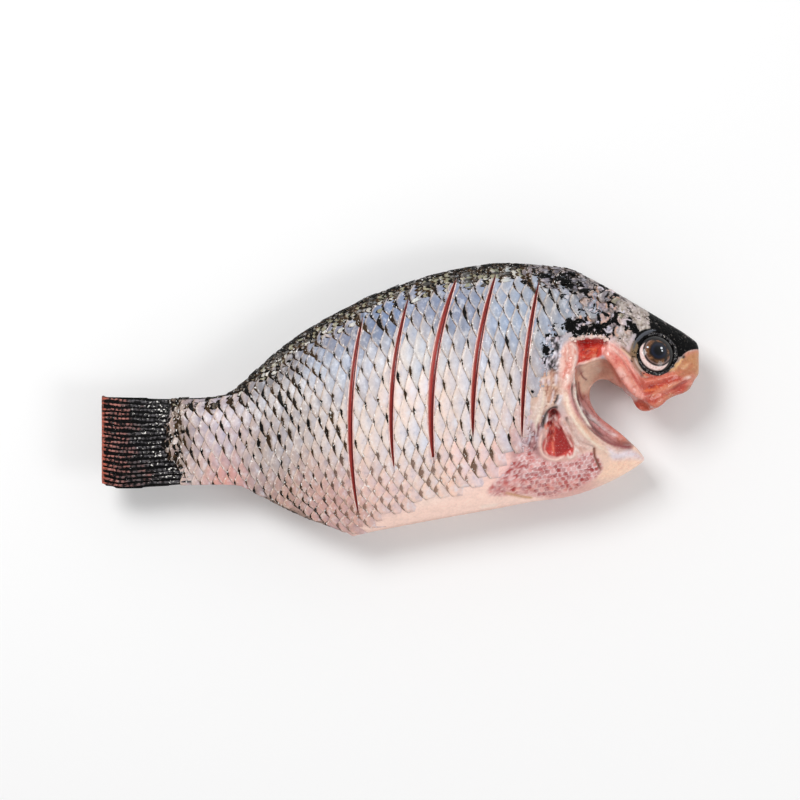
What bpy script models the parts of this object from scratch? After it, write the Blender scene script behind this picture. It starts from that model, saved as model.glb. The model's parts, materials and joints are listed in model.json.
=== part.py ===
"""A whole raw fish, cleaned for cooking: one solid body and two eyeballs.

The fish lies on its left or right side on a flat surface, with its snout towards +X and its back
towards +Y.  Its fins are trimmed, its tail is cut straight, the gill covers, gills and lower jaw are
gone, and both flanks are scored.  The model stands on Z = 0, under the middle of its bounding box.
"""
import math

import bmesh
import bpy
from mathutils import Matrix, Vector

MM = 0.001

# The body is drawn out along these stations, in millimetres from the middle of its length:
# place, height of the back, height of the belly, half the thickness, and how full the section is
# at its upper and lower edges (small is square like a fin, large is keen like a ridge).
STATIONS = (
    (-135.0, 2.4, -38.8, 1.1, 0.22, 0.22),
    (-126.5, 2.0, -40.8, 1.3, 0.25, 0.25),
    (-113.0, 1.2, -39.8, 2.2, 0.32, 0.32),
    (-102.0, 0.8, -38.8, 4.2, 0.42, 0.42),
    (-91.0, 0.8, -38.2, 6.2, 0.50, 0.50),
    (-80.0, 2.2, -38.2, 7.8, 0.56, 0.54),
    (-72.0, 7.0, -38.8, 9.2, 0.62, 0.62),
    (-68.0, 10.9, -41.0, 10.0, 0.66, 0.70),
    (-58.0, 20.2, -46.3, 12.0, 0.70, 0.76),
    (-42.0, 31.8, -54.0, 15.6, 0.72, 0.78),
    (-31.0, 38.2, -57.6, 18.0, 0.73, 0.78),
    (-24.5, 41.4, -60.2, 19.4, 0.73, 0.76),
    (-21.5, 43.1, -62.1, 20.0, 0.73, 0.74),
    (-15.0, 46.5, -60.4, 21.0, 0.73, 0.66),
    (0.0, 52.0, -57.4, 22.4, 0.74, 0.60),
    (20.0, 58.1, -53.6, 23.0, 0.74, 0.57),
    (45.0, 61.9, -49.1, 23.0, 0.74, 0.56),
    (60.0, 61.4, -46.2, 22.8, 0.73, 0.56),
    (75.0, 59.8, -44.2, 22.0, 0.70, 0.56),
    (88.0, 54.3, -40.2, 20.2, 0.66, 0.56),
    (100.0, 47.5, -34.7, 17.8, 0.62, 0.56),
    (111.0, 41.0, -27.4, 15.2, 0.58, 0.56),
    (120.0, 35.6, -19.0, 12.8, 0.54, 0.52),
    (128.0, 30.8, -9.0, 10.0, 0.50, 0.50),
    (132.5, 27.6, 0.0, 7.4, 0.50, 0.50),
    (134.6, 25.9, 6.0, 5.0, 0.50, 0.50),
    (135.0, 24.4, 10.0, 3.4, 0.50, 0.50),
)
HALF_THICKEST = max(station[3] for station in STATIONS)
RING_STEP = 5.0
RING_POINTS = 40
SLOPE_STEP = 2.0
SHARP_ANGLE = 35.0
WELD_DISTANCE = 0.001

# The flank that the fish lies on is pressed flat by its weight.
FLAT_DEPTH = 1.8
FLAT_BLOCK = (300.0, 150.0, 20.0)

# The opening where the lower jaw and gills were cut out, from the tip of the throat round the hollow
# to the upper lip, then round the outside of the fish.
THROAT_OUTLINE = (
    (111.4, -27.4), (106.2, -21.2), (100.9, -16.1), (94.7, -11.3), (88.9, -6.2), (85.8, 1.0),
    (87.2, 7.2), (92.2, 9.5), (97.0, 6.9), (104.3, 2.3), (106.5, -2.8), (110.2, -5.3),
    (117.4, -2.5), (121.0, 0.7), (130.0, 4.3), (134.2, 10.6), (150.0, 12.0), (150.0, -60.0),
    (122.0, -45.0),
)
THROAT_THICKNESS = 80.0
THROAT_DETAIL = 3

# The hollow behind each gill cover, from its upper front corner down the collar bone to the tip of
# the throat.  It narrows towards the thin wall that is left in the middle of the fish.
GILL_OUTLINE = (
    (90.5, 19.3), (84.0, 17.0), (78.2, 14.8), (77.7, 6.0), (78.8, 0.6), (81.9, -5.8), (84.5, -11.5),
    (88.4, -16.3), (93.4, -19.8), (99.3, -21.7), (106.0, -22.4), (116.0, -24.0), (122.0, -12.0),
    (103.5, 4.0), (98.6, 12.2), (95.5, 17.0),
)
GILL_CENTRE = (100.0, -3.0)
GILL_WALL_HALF = 2.6
GILL_TOP = 30.0
GILL_NARROWING = 0.26
GILL_STEPS = 5
GILL_DETAIL = 2

# The wound where each side fin was cut off.
WOUND_OUTLINE = (
    (69.2, -4.0), (71.4, -11.5), (75.6, -16.4), (78.2, -20.8), (76.8, -24.6), (70.0, -25.2),
    (64.8, -23.6), (63.9, -19.6), (66.8, -13.6), (66.2, -7.5),
)
WOUND_MIDDLE = (70.0, -17.0)
WOUND_DEPTH = 4.5
WOUND_DETAIL = 3

# The score cuts: upper end, lower end, how far the cut bows towards the tail, and its width.
SCORES = (
    ((-16.7, 37.3), (-18.5, -52.2), 4.6, 2.1),
    ((3.8, 45.9), (-2.6, -31.0), 3.9, 1.9),
    ((25.5, 54.9), (15.2, -28.7), 5.4, 2.7),
    ((43.2, 56.8), (32.6, -17.0), 3.4, 2.3),
    ((62.5, 53.6), (54.5, -17.0), 2.2, 1.9),
)
SCORE_DEPTH = 6.0
SCORE_CLEARANCE = 2.0
SCORE_CUTS = 11
SCORE_FLOOR = 0.2
SCORE_TIP = 0.004

# The eyeballs sit in sockets of their own shape, a hair larger.
EYE_PLACE = (116.0, 22.1)
EYE_RADIUS = 8.2
EYE_HALF_DEPTH = 5.6
EYE_STANDS_OUT = 2.6
EYE_GAP = 0.3
EYE_SEGMENTS = 24


def remove_everything():
    for obj in list(bpy.data.objects):
        bpy.data.objects.remove(obj, do_unlink=True)


def new_collection(name):
    collection = bpy.data.collections.new(name)
    bpy.context.scene.collection.children.link(collection)
    return collection


def new_object(name, mesh, collection, parent):
    obj = bpy.data.objects.new(name, mesh)
    collection.objects.link(obj)
    obj.parent = parent
    return obj


def new_material(name, colour, roughness, metallic=0.0):
    material = bpy.data.materials.new(name)
    material.use_nodes = True
    shader = material.node_tree.nodes["Principled BSDF"]
    shader.inputs["Base Color"].default_value = (*colour, 1.0)
    shader.inputs["Roughness"].default_value = roughness
    shader.inputs["Metallic"].default_value = metallic
    return material


# ---- The shape of the fish as a function of place -------------------------------------------

def slope_at(index, column):
    """The slope of one column of the stations, level where the column turns round."""
    if index in (0, len(STATIONS) - 1):
        return 0.0
    before, here, after = STATIONS[index - 1], STATIONS[index], STATIONS[index + 1]
    left = (here[column] - before[column]) / (here[0] - before[0])
    right = (after[column] - here[column]) / (after[0] - here[0])
    if left * right <= 0.0:
        return 0.0
    return 2.0 * left * right / (left + right)


def stations_at(x):
    """Back, belly, half thickness, upper and lower fullness at x, on a smooth curve."""
    x = min(max(x, STATIONS[0][0]), STATIONS[-1][0])
    index = 0
    while index < len(STATIONS) - 2 and x > STATIONS[index + 1][0]:
        index += 1
    start, end = STATIONS[index], STATIONS[index + 1]
    span = end[0] - start[0]
    t = (x - start[0]) / span
    values = []
    for column in range(1, len(start)):
        rise = (2 * t ** 3 - 3 * t ** 2 + 1) * start[column] + (3 * t ** 2 - 2 * t ** 3) * end[column]
        lean = (t ** 3 - 2 * t ** 2 + t) * slope_at(index, column)
        lean += (t ** 3 - t ** 2) * slope_at(index + 1, column)
        values.append(rise + span * lean)
    return values


def side_height(x, up):
    """Half the fish's thickness at x, where up runs from -1 at the belly to 1 at the back."""
    _, _, half, upper, lower = stations_at(x)
    fullness = (upper + lower) / 2 + (upper - lower) / 2 * up
    return half * max(1.0 - up * up, 0.0) ** fullness


def side_height_at(x, y):
    back, belly = stations_at(x)[:2]
    up = (2 * y - back - belly) / (back - belly)
    return side_height(x, min(max(up, -1.0), 1.0))


def facing_at(x, y, side):
    """The direction that the skin faces on one side of the fish, 1 for upper and -1 for under."""
    along = side_height_at(x + SLOPE_STEP, y) - side_height_at(x - SLOPE_STEP, y)
    across = side_height_at(x, y + SLOPE_STEP) - side_height_at(x, y - SLOPE_STEP)
    return Vector((-along, -across, 2 * SLOPE_STEP * side)).normalized()


def ring_places():
    """Where the rings of the body stand: at each station, and evenly between."""
    places = []
    for start, end in zip(STATIONS, STATIONS[1:]):
        steps = max(1, round((end[0] - start[0]) / RING_STEP))
        places += [start[0] + (end[0] - start[0]) * step / steps for step in range(steps)]
    return places + [STATIONS[-1][0]]


# ---- The body and what is cut out of it -----------------------------------------------------

def body_mesh():
    """A sphere drawn out along the fish, its poles in the middle of the snout and of the tail."""
    places = list(reversed(ring_places()))
    bands = len(places) + 1
    bm = bmesh.new()
    bmesh.ops.create_uvsphere(bm, u_segments=RING_POINTS, v_segments=bands, radius=1.0)
    for vert in bm.verts:
        ring = round(math.acos(max(-1.0, min(1.0, vert.co.z))) / math.pi * bands)
        x = places[min(max(ring - 1, 0), len(places) - 1)]
        back, belly = stations_at(x)[:2]
        middle, reach = (back + belly) / 2, (back - belly) / 2
        if ring in (0, bands):
            vert.co = Vector((x, middle, 0.0)) * MM
            continue
        around = math.atan2(vert.co.y, vert.co.x)
        up = math.cos(around)
        out = math.copysign(side_height(x, up), math.sin(around))
        vert.co = Vector((x, middle + reach * up, out)) * MM
    return finished_mesh("body", bm)


def finished_mesh(name, bm):
    bmesh.ops.recalc_face_normals(bm, faces=bm.faces)
    mesh = bpy.data.meshes.new(name)
    bm.to_mesh(mesh)
    bm.free()
    mesh.shade_smooth()
    mesh.set_sharp_from_angle(angle=math.radians(SHARP_ANGLE))
    return mesh


def filled_outline(name, points, thickness, detail):
    """A bmesh of a smooth closed outline, in millimetres, with half its thickness on each side."""
    curve = bpy.data.curves.new(name, "CURVE")
    curve.dimensions = "2D"
    curve.fill_mode = "BOTH"
    curve.extrude = thickness / 2
    curve.resolution_u = detail
    spline = curve.splines.new("BEZIER")
    spline.bezier_points.add(len(points) - 1)
    spline.use_cyclic_u = True
    for knot, (x, y) in zip(spline.bezier_points, points):
        knot.co = (x, y, 0.0)
        knot.handle_left_type = knot.handle_right_type = "AUTO"
    holder = bpy.data.objects.new(name, curve)
    bpy.context.scene.collection.objects.link(holder)
    shape = bpy.data.meshes.new_from_object(holder.evaluated_get(bpy.context.evaluated_depsgraph_get()))
    bm = bmesh.new()
    bm.from_mesh(shape)
    bmesh.ops.remove_doubles(bm, verts=bm.verts, dist=WELD_DISTANCE)
    bpy.data.objects.remove(holder, do_unlink=True)
    return bm


def throat_mesh():
    bm = filled_outline("throat_outline", THROAT_OUTLINE, THROAT_THICKNESS, THROAT_DETAIL)
    bmesh.ops.scale(bm, vec=(MM, MM, MM), verts=bm.verts)
    return finished_mesh("throat", bm)


def gill_mesh():
    """The gill hollow: wide at the skin, curving in towards the wall in the middle of the fish."""
    bm = filled_outline("gill_outline", GILL_OUTLINE, 0.0, GILL_DETAIL)
    bmesh.ops.translate(bm, verts=bm.verts, vec=(0.0, 0.0, GILL_TOP))
    to_centre = Matrix.Translation((-GILL_CENTRE[0], -GILL_CENTRE[1], 0.0))
    floor = list(bm.faces)
    width = 1.0
    for step in range(1, GILL_STEPS + 1):
        grown = bmesh.ops.extrude_face_region(bm, geom=floor)["geom"]
        if step > 1:
            bmesh.ops.delete(bm, geom=floor, context="FACES")
        floor = [item for item in grown if isinstance(item, bmesh.types.BMFace)]
        verts = [item for item in grown if isinstance(item, bmesh.types.BMVert)]
        turn = math.pi / 2 * step / GILL_STEPS
        depth = GILL_TOP - (GILL_TOP - GILL_WALL_HALF) * math.sin(turn)
        bmesh.ops.translate(bm, verts=verts, vec=(0.0, 0.0, depth - verts[0].co.z))
        narrowed = 1.0 - GILL_NARROWING * (1.0 - math.cos(turn))
        shrink = narrowed / width
        bmesh.ops.scale(bm, vec=(shrink, shrink, 1.0), verts=verts, space=to_centre)
        width = narrowed
    bmesh.ops.scale(bm, vec=(MM, MM, MM), verts=bm.verts)
    return finished_mesh("gill", bm)


def wound_mesh():
    bm = filled_outline("wound_outline", WOUND_OUTLINE, 2 * WOUND_DEPTH, WOUND_DETAIL)
    bmesh.ops.translate(bm, verts=bm.verts, vec=(0.0, 0.0, side_height_at(*WOUND_MIDDLE)))
    bmesh.ops.scale(bm, vec=(MM, MM, MM), verts=bm.verts)
    return finished_mesh("wound", bm)


def score_mesh(top, bottom, bow, width):
    """A blade the length of one cut, widest in its middle, that follows the skin."""
    bm = bmesh.new()
    bmesh.ops.create_cube(bm, size=2.0)
    along = [edge for edge in bm.edges if abs(edge.verts[0].co.y - edge.verts[1].co.y) > 1.0]
    bmesh.ops.subdivide_edges(bm, edges=along, cuts=SCORE_CUTS, use_grid_fill=True)
    for vert in bm.verts:
        t = vert.co.y
        opening = math.sqrt(max(1.0 - t * t, SCORE_TIP))
        x = (top[0] + bottom[0]) / 2 + (top[0] - bottom[0]) / 2 * t - bow * (1 - t * t)
        y = (top[1] + bottom[1]) / 2 + (top[1] - bottom[1]) / 2 * t
        skin = side_height_at(x, y)
        if vert.co.z > 0:
            half = width / 2 * opening * (1 + SCORE_CLEARANCE / SCORE_DEPTH)
            z = skin + SCORE_CLEARANCE
        else:
            half = SCORE_FLOOR * opening
            z = skin - SCORE_DEPTH * opening
        vert.co = Vector((x + vert.co.x * half, y, z)) * MM
    return finished_mesh("score", bm)


def flat_mesh():
    """A block that takes the bulge off the lower flank."""
    bm = bmesh.new()
    bmesh.ops.create_cube(bm, size=1.0)
    bmesh.ops.scale(bm, vec=Vector(FLAT_BLOCK) * MM, verts=bm.verts)
    drop = (HALF_THICKEST - FLAT_DEPTH + FLAT_BLOCK[2] / 2) * MM
    bmesh.ops.translate(bm, verts=bm.verts, vec=(0.0, 0.0, -drop))
    return finished_mesh("flat", bm)


def eye_mesh(name, gap):
    bm = bmesh.new()
    bmesh.ops.create_uvsphere(bm, u_segments=EYE_SEGMENTS, v_segments=EYE_SEGMENTS // 2, radius=1.0)
    size = Vector((EYE_RADIUS + gap, EYE_RADIUS + gap, EYE_HALF_DEPTH + gap))
    bmesh.ops.scale(bm, vec=size * MM, verts=bm.verts)
    return finished_mesh(name, bm)


# ---- Putting the fish together --------------------------------------------------------------

def cut(body, cutter):
    cutter.hide_render = True
    cutter.display_type = "WIRE"
    modifier = body.modifiers.new(cutter.name, "BOOLEAN")
    modifier.operation = "DIFFERENCE"
    modifier.solver = "EXACT"
    modifier.object = cutter


def cut_both_sides(body, name, mesh, collection, parent):
    """Cut with a mesh and with its mirror image across the middle plane of the fish."""
    cutter = new_object(name, mesh, collection, parent)
    mirror = cutter.modifiers.new("other_side", "MIRROR")
    mirror.use_axis = (False, False, True)
    mirror.use_mirror_merge = False
    cut(body, cutter)


def build_fish():
    remove_everything()
    parts = new_collection("raw_fish")
    cutters = new_collection("cutters")

    middle = bpy.data.objects.new("middle_of_fish", None)
    parts.objects.link(middle)
    middle.location = (0.0, 0.0, (HALF_THICKEST - FLAT_DEPTH) * MM)

    body = new_object("body", body_mesh(), parts, middle)
    body.data.materials.append(new_material("raw_fish_skin", (0.52, 0.50, 0.52), 0.30))

    cut(body, new_object("throat_cutter", throat_mesh(), cutters, middle))
    cut_both_sides(body, "gill_cutter", gill_mesh(), cutters, middle)
    cut_both_sides(body, "wound_cutter", wound_mesh(), cutters, middle)
    for number, score in enumerate(SCORES, start=1):
        cut_both_sides(body, f"score_cutter_{number}", score_mesh(*score), cutters, middle)

    eye_material = new_material("eye_clear", (0.10, 0.07, 0.05), 0.08)
    eyeball = eye_mesh("eyeball", 0.0)
    eyeball.materials.append(eye_material)
    for name, side in (("eye_upper", 1), ("eye_under", -1)):
        facing = facing_at(*EYE_PLACE, side)
        skin = Vector((*EYE_PLACE, side * side_height_at(*EYE_PLACE)))
        turn = Vector((0.0, 0.0, side)).rotation_difference(facing)
        eye = new_object(name, eyeball, parts, middle)
        socket = new_object(f"{name}_socket", eye_mesh("socket", EYE_GAP), cutters, middle)
        for piece in (eye, socket):
            piece.location = (skin + facing * (EYE_STANDS_OUT - EYE_HALF_DEPTH)) * MM
            piece.rotation_mode = "QUATERNION"
            piece.rotation_quaternion = turn
        cut(body, socket)

    cut(body, new_object("flat_cutter", flat_mesh(), cutters, middle))
    bpy.context.view_layer.update()


build_fish()
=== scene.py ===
# %% [markdown]
# # A whole raw fish, cleaned and scored
#
# The fish lies on its side with its snout to the right.  The frame gives its solid shape and its real
# size.  This script gives it what a cook would see: a wet skin with real overlapping scales, cuts that
# show red flesh, the raw throat where the gills were taken out, a clear eye and a fin of bony rays.
#
# Everything below is measured in millimetres from the middle plane of the fish, and turned into metres
# only when a mesh is written.  That keeps the numbers close to the ones a ruler would give.

# %% Load the frame
import json
import math
import random

import bmesh
import bpy
import numpy as np
from mathutils import Matrix, Vector, noise
from mathutils.bvhtree import BVHTree

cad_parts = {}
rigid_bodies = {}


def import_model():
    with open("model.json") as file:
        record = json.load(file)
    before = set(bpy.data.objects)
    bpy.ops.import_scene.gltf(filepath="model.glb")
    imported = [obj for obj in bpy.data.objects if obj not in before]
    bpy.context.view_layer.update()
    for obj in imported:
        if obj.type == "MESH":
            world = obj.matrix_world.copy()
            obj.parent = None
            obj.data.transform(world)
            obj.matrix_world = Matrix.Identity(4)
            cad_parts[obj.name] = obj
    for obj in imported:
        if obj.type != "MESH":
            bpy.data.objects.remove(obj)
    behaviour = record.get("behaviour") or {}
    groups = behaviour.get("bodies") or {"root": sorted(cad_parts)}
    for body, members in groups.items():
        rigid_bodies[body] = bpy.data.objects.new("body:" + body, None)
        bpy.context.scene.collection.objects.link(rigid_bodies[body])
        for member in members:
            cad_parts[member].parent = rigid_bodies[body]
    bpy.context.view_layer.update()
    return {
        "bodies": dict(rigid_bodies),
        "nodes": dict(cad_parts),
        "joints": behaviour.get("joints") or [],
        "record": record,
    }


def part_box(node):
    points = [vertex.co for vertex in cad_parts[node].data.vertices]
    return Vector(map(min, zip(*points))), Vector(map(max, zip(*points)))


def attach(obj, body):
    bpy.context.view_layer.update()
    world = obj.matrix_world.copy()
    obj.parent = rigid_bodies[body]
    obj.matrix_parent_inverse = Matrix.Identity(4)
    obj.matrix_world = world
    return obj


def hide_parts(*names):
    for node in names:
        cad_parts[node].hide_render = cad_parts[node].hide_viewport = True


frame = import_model()

MM = 0.001
eye_low, eye_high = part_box("eye_upper")
under_low, under_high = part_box("eye_under")
MIDDLE = (eye_high.z + under_low.z) / 2

# %% [markdown]
# ## Camera
#
# The fish is seen from straight above.  A long lens from far away keeps the outline free of
# perspective, so the tail and the snout are drawn at the same scale as the flank.

# %% Camera
VIEW_WIDTH = 0.3618
CAMERA_HEIGHT = 1.6

camera_data = bpy.data.cameras.new("camera")
camera_data.sensor_width = 36.0
camera_data.lens = camera_data.sensor_width * (CAMERA_HEIGHT - MIDDLE) / VIEW_WIDTH
camera = bpy.data.objects.new("camera", camera_data)
camera.location = (0.0, 0.0, CAMERA_HEIGHT)
bpy.context.scene.collection.objects.link(camera)
bpy.context.scene.camera = camera

# %% [markdown]
# ## Helpers: places on the fish
#
# Most of the work is saying where something is on the flank.  Three questions come back all the time:
# how far a point is from a line, whether it is inside an outline, and how a smooth line runs through a
# few given points.  Each helper answers for a whole array of points at once.

# %% Helpers for places
def smoothstep(low, high, value):
    t = np.clip((value - low) / (high - low), 0.0, 1.0)
    return t * t * (3.0 - 2.0 * t)


def curve_through(points, closed=False, steps=6):
    """A Catmull-Rom curve through a few points, as an array of places."""
    knots = [np.array(p, float) for p in points]
    count = len(knots)
    places = []
    for i in range(count if closed else count - 1):
        a, b, c, d = (knots[(i + k) % count] if closed else knots[min(max(i + k, 0), count - 1)]
                      for k in (-1, 0, 1, 2))
        for step in range(steps):
            t = step / steps
            places.append(0.5 * (2 * b + (c - a) * t + (2 * a - 5 * b + 4 * c - d) * t ** 2
                                 + (3 * b - a - 3 * c + d) * t ** 3))
    if not closed:
        places.append(knots[-1])
    return np.array(places)


def distance_to(line, x, y):
    """Distance from each point to a line of places, and how far along the line that is, 0 to 1."""
    best = np.full(x.shape, 1e9)
    along = np.zeros(x.shape)
    last = len(line) - 1
    for i in range(last):
        (ax, ay), (bx, by) = line[i], line[i + 1]
        dx, dy = bx - ax, by - ay
        t = np.clip(((x - ax) * dx + (y - ay) * dy) / max(dx * dx + dy * dy, 1e-9), 0.0, 1.0)
        away = np.hypot(x - ax - t * dx, y - ay - t * dy)
        closer = away < best
        best = np.where(closer, away, best)
        along = np.where(closer, (i + t) / last, along)
    return best, along


def inside(outline, x, y):
    """Whether each point is inside a closed outline."""
    crossed = np.zeros(x.shape, bool)
    for (ax, ay), (bx, by) in zip(outline, np.roll(outline, -1, axis=0)):
        if ay == by:
            continue
        spans = (ay > y) != (by > y)
        crossed ^= spans & (x < (bx - ax) * (y - ay) / (by - ay) + ax)
    return crossed


def patch(points, x, y, soft=1.0):
    """1 well inside a smooth outline, 0 well outside, and soft between."""
    outline = curve_through(points, closed=True)
    away, _ = distance_to(np.vstack([outline, outline[:1]]), x, y)
    signed = np.where(inside(outline, x, y), away, -away)
    return smoothstep(-soft, soft, signed)


def colour(red, green, blue):
    """A colour given as on a screen, 0 to 255, as the linear light that Blender mixes."""
    values = np.array((red, green, blue), float) / 255.0
    return np.where(values <= 0.04045, values / 12.92, ((values + 0.055) / 1.055) ** 2.4)


def wobble(x, y, size, seed=0.0):
    """Smooth noise from -1 to 1, with bumps of about the given size."""
    return np.array([noise.noise(Vector((a / size, b / size, seed))) for a, b in zip(x, y)])


# %% [markdown]
# ## The flank as a height map
#
# The scales, the tail rays and the lips of the cuts all lie on the skin, but the solid already has
# holes in it where the cuts are.  So the flank is measured once as a map of heights above the middle
# plane: rays are dropped on the solid every millimetre, the places that were cut away are left out,
# and their heights are filled in from their surroundings.  Averaging also removes the flat facets.

# %% The cuts in the solid
SCORES = (
    ((-16.7, 37.3), (-18.5, -52.2), 4.6, 2.1),
    ((3.8, 45.9), (-2.6, -31.0), 3.9, 1.9),
    ((25.5, 54.9), (15.2, -28.7), 5.4, 2.7),
    ((43.2, 56.8), (32.6, -17.0), 3.4, 2.3),
    ((62.5, 53.6), (54.5, -17.0), 2.2, 1.9),
)
THROAT = ((111.4, -27.4), (106.2, -21.2), (100.9, -16.1), (94.7, -11.3), (88.9, -6.2), (85.8, 1.0),
          (87.2, 7.2), (92.2, 9.5), (97.0, 6.9), (104.3, 2.3), (106.5, -2.8), (110.2, -5.3),
          (117.4, -2.5), (121.0, 0.7), (130.0, 4.3), (134.2, 10.6), (150.0, 12.0), (150.0, -60.0),
          (122.0, -45.0))
GILL = ((90.5, 19.3), (84.0, 17.0), (78.2, 14.8), (77.7, 6.0), (78.8, 0.6), (81.9, -5.8),
        (84.5, -11.5), (88.4, -16.3), (93.4, -19.8), (99.3, -21.7), (106.0, -22.4), (116.0, -24.0),
        (122.0, -12.0), (103.5, 4.0), (98.6, 12.2), (95.5, 17.0))
WOUND = ((69.2, -4.0), (71.4, -11.5), (75.6, -16.4), (78.2, -20.8), (76.8, -24.6), (70.0, -25.2),
         (64.8, -23.6), (63.9, -19.6), (66.8, -13.6), (66.2, -7.5))
EYE = ((eye_low.x + eye_high.x) / 2 / MM, (eye_low.y + eye_high.y) / 2 / MM)


def score_line(top, bottom, bow, width, steps=24):
    """Places along the middle of a cut, and half its width at each."""
    t = np.linspace(1.0, -1.0, steps + 1)
    x = (top[0] + bottom[0]) / 2 + (top[0] - bottom[0]) / 2 * t - bow * (1 - t * t)
    y = (top[1] + bottom[1]) / 2 + (top[1] - bottom[1]) / 2 * t
    half = width / 2 * np.sqrt(np.maximum(1 - t * t, 0.0))
    return np.column_stack([x, y]), half


# %% Measure the flank
def welded_copy(node):
    """A bmesh of a frame part whose loose triangles have been joined."""
    bm = bmesh.new()
    bm.from_mesh(frame["nodes"][node].data)
    bmesh.ops.remove_doubles(bm, verts=bm.verts, dist=1e-6)
    return bm


body = welded_copy("body")
body_tree = BVHTree.FromBMesh(body)
map_x = np.arange(-140.0, 141.0, 1.0)
map_y = np.arange(-66.0, 67.0, 1.0)
grid_x, grid_y = np.meshgrid(map_x, map_y)


def measure_flank():
    heights = np.zeros(grid_x.shape)
    for row in range(len(map_y)):
        for column in range(len(map_x)):
            start = Vector((map_x[column] * MM, map_y[row] * MM, 1.0))
            hit = body_tree.ray_cast(start, Vector((0.0, 0.0, -1.0)))[0]
            heights[row, column] = 0.0 if hit is None else max(hit.z - MIDDLE, 0.0) / MM
    missing = np.zeros(grid_x.shape, bool)
    for score in SCORES:
        away, _ = distance_to(score_line(*score)[0], grid_x, grid_y)
        missing |= away < score[3] / 2 + 1.2
    for outline in (GILL, WOUND):
        missing |= patch(outline, grid_x, grid_y, 1.2) > 0.02
    missing |= np.hypot(grid_x - EYE[0], grid_y - EYE[1]) < 10.5
    filled = heights.copy()
    filled[missing] = 12.0
    for _ in range(400):
        mean = (np.roll(filled, 1, 0) + np.roll(filled, -1, 0)
                + np.roll(filled, 1, 1) + np.roll(filled, -1, 1)) / 4
        filled[missing] = mean[missing]
    solid = (filled > 0.3).astype(float)
    for _ in range(6):
        total, weight = filled * solid, solid.copy()
        for axis in (0, 1):
            for shift in (1, -1):
                total = total + np.roll(filled * solid, shift, axis)
                weight = weight + np.roll(solid, shift, axis)
        filled = np.where(solid > 0, total / np.maximum(weight, 1.0), filled)
    return filled


flank = measure_flank()
UNDER_LIMIT = MIDDLE / MM - 0.9
print("flank map", flank.shape, "highest", round(float(flank.max()), 2), "mm")


def flank_height(x, y):
    """Height of the skin above the middle plane at each point, between the places of the map."""
    fx = np.clip(np.asarray(x, float) - map_x[0], 0, len(map_x) - 1.001)
    fy = np.clip(np.asarray(y, float) - map_y[0], 0, len(map_y) - 1.001)
    ix, iy = fx.astype(int), fy.astype(int)
    tx, ty = fx - ix, fy - iy
    low = flank[iy, ix] * (1 - tx) + flank[iy, ix + 1] * tx
    high = flank[iy + 1, ix] * (1 - tx) + flank[iy + 1, ix + 1] * tx
    return low * (1 - ty) + high * ty


def height_on(side, x, y):
    """The same height on either side; the underside is flat where the fish rests on it."""
    height = flank_height(x, y)
    return np.where(np.asarray(side) > 0, height, np.minimum(height, UNDER_LIMIT))


def flank_facing(x, y):
    """The direction that the skin faces at each point."""
    step = 1.5
    along = (flank_height(x + step, y) - flank_height(x - step, y)) / (2 * step)
    across = (flank_height(x, y + step) - flank_height(x, y - step)) / (2 * step)
    facing = np.stack([-along, -across, np.ones_like(along)], axis=-1)
    return facing / np.linalg.norm(facing, axis=-1, keepdims=True)


# %% [markdown]
# ## The skin under the scales
#
# The real skin is one wet sheet that runs from the snout over the flank to the fin and, torn, into the
# throat.  A voxel remesh turns the solid into an even net of small quads that can be pushed and
# coloured point by point.  The head gets a finer net, because the torn edges and folds are there.

# %% Remesh the body
NET = 1.08
HEAD_FROM = 56.0
FINE_ABOVE = 18.0


def even_net(bm, size):
    """The same solid as one even net of quads."""
    mesh = bpy.data.meshes.new("skin")
    bm.to_mesh(mesh)
    rough = bpy.data.objects.new("rough_skin", mesh)
    bpy.context.scene.collection.objects.link(rough)
    remesh = rough.modifiers.new("even net", "REMESH")
    remesh.mode = "VOXEL"
    remesh.voxel_size = size * MM
    net = bpy.data.meshes.new_from_object(rough.evaluated_get(bpy.context.evaluated_depsgraph_get()))
    bpy.data.objects.remove(rough)
    return net


skin_bm = bmesh.new()
skin_bm.from_mesh(even_net(body, NET))
for _ in range(3):
    bmesh.ops.smooth_vert(skin_bm, verts=skin_bm.verts, factor=0.5,
                          use_axis_x=True, use_axis_y=True, use_axis_z=True)
head_edges = [e for e in skin_bm.edges if min(v.co.x for v in e.verts) > HEAD_FROM * MM
              and min(v.co.z for v in e.verts) > FINE_ABOVE * MM]
bmesh.ops.subdivide_edges(skin_bm, edges=head_edges, cuts=1, use_grid_fill=True)
head_points = [v for v in skin_bm.verts if v.co.x > HEAD_FROM * MM]
for _ in range(2):
    bmesh.ops.smooth_vert(skin_bm, verts=head_points, factor=0.5,
                          use_axis_x=True, use_axis_y=True, use_axis_z=True)
bmesh.ops.recalc_face_normals(skin_bm, faces=skin_bm.faces)
skin_mesh = bpy.data.meshes.new("skin")
skin_bm.to_mesh(skin_mesh)
skin_bm.free()
print("skin net:", len(skin_mesh.vertices), "points", len(skin_mesh.polygons), "faces")


# %% Points of the skin as arrays
def points_of(mesh):
    flat = np.zeros(len(mesh.vertices) * 3)
    mesh.vertices.foreach_get("co", flat)
    return flat.reshape(-1, 3)


def set_points(mesh, points):
    mesh.vertices.foreach_set("co", np.ascontiguousarray(points, dtype=float).ravel())
    mesh.update()


def facings_of(mesh):
    flat = np.zeros(len(mesh.vertices) * 3, dtype=np.float32)
    mesh.vertex_normals.foreach_get("vector", flat)
    return flat.reshape(-1, 3).astype(float)


def add_layer(mesh, name, values):
    """A colour layer, one value of red, green, blue and alpha for each point."""
    layer = mesh.color_attributes.new(name, "FLOAT_COLOR", "POINT")
    layer.data.foreach_set("color", np.ascontiguousarray(values, dtype=np.float32).ravel())


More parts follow.
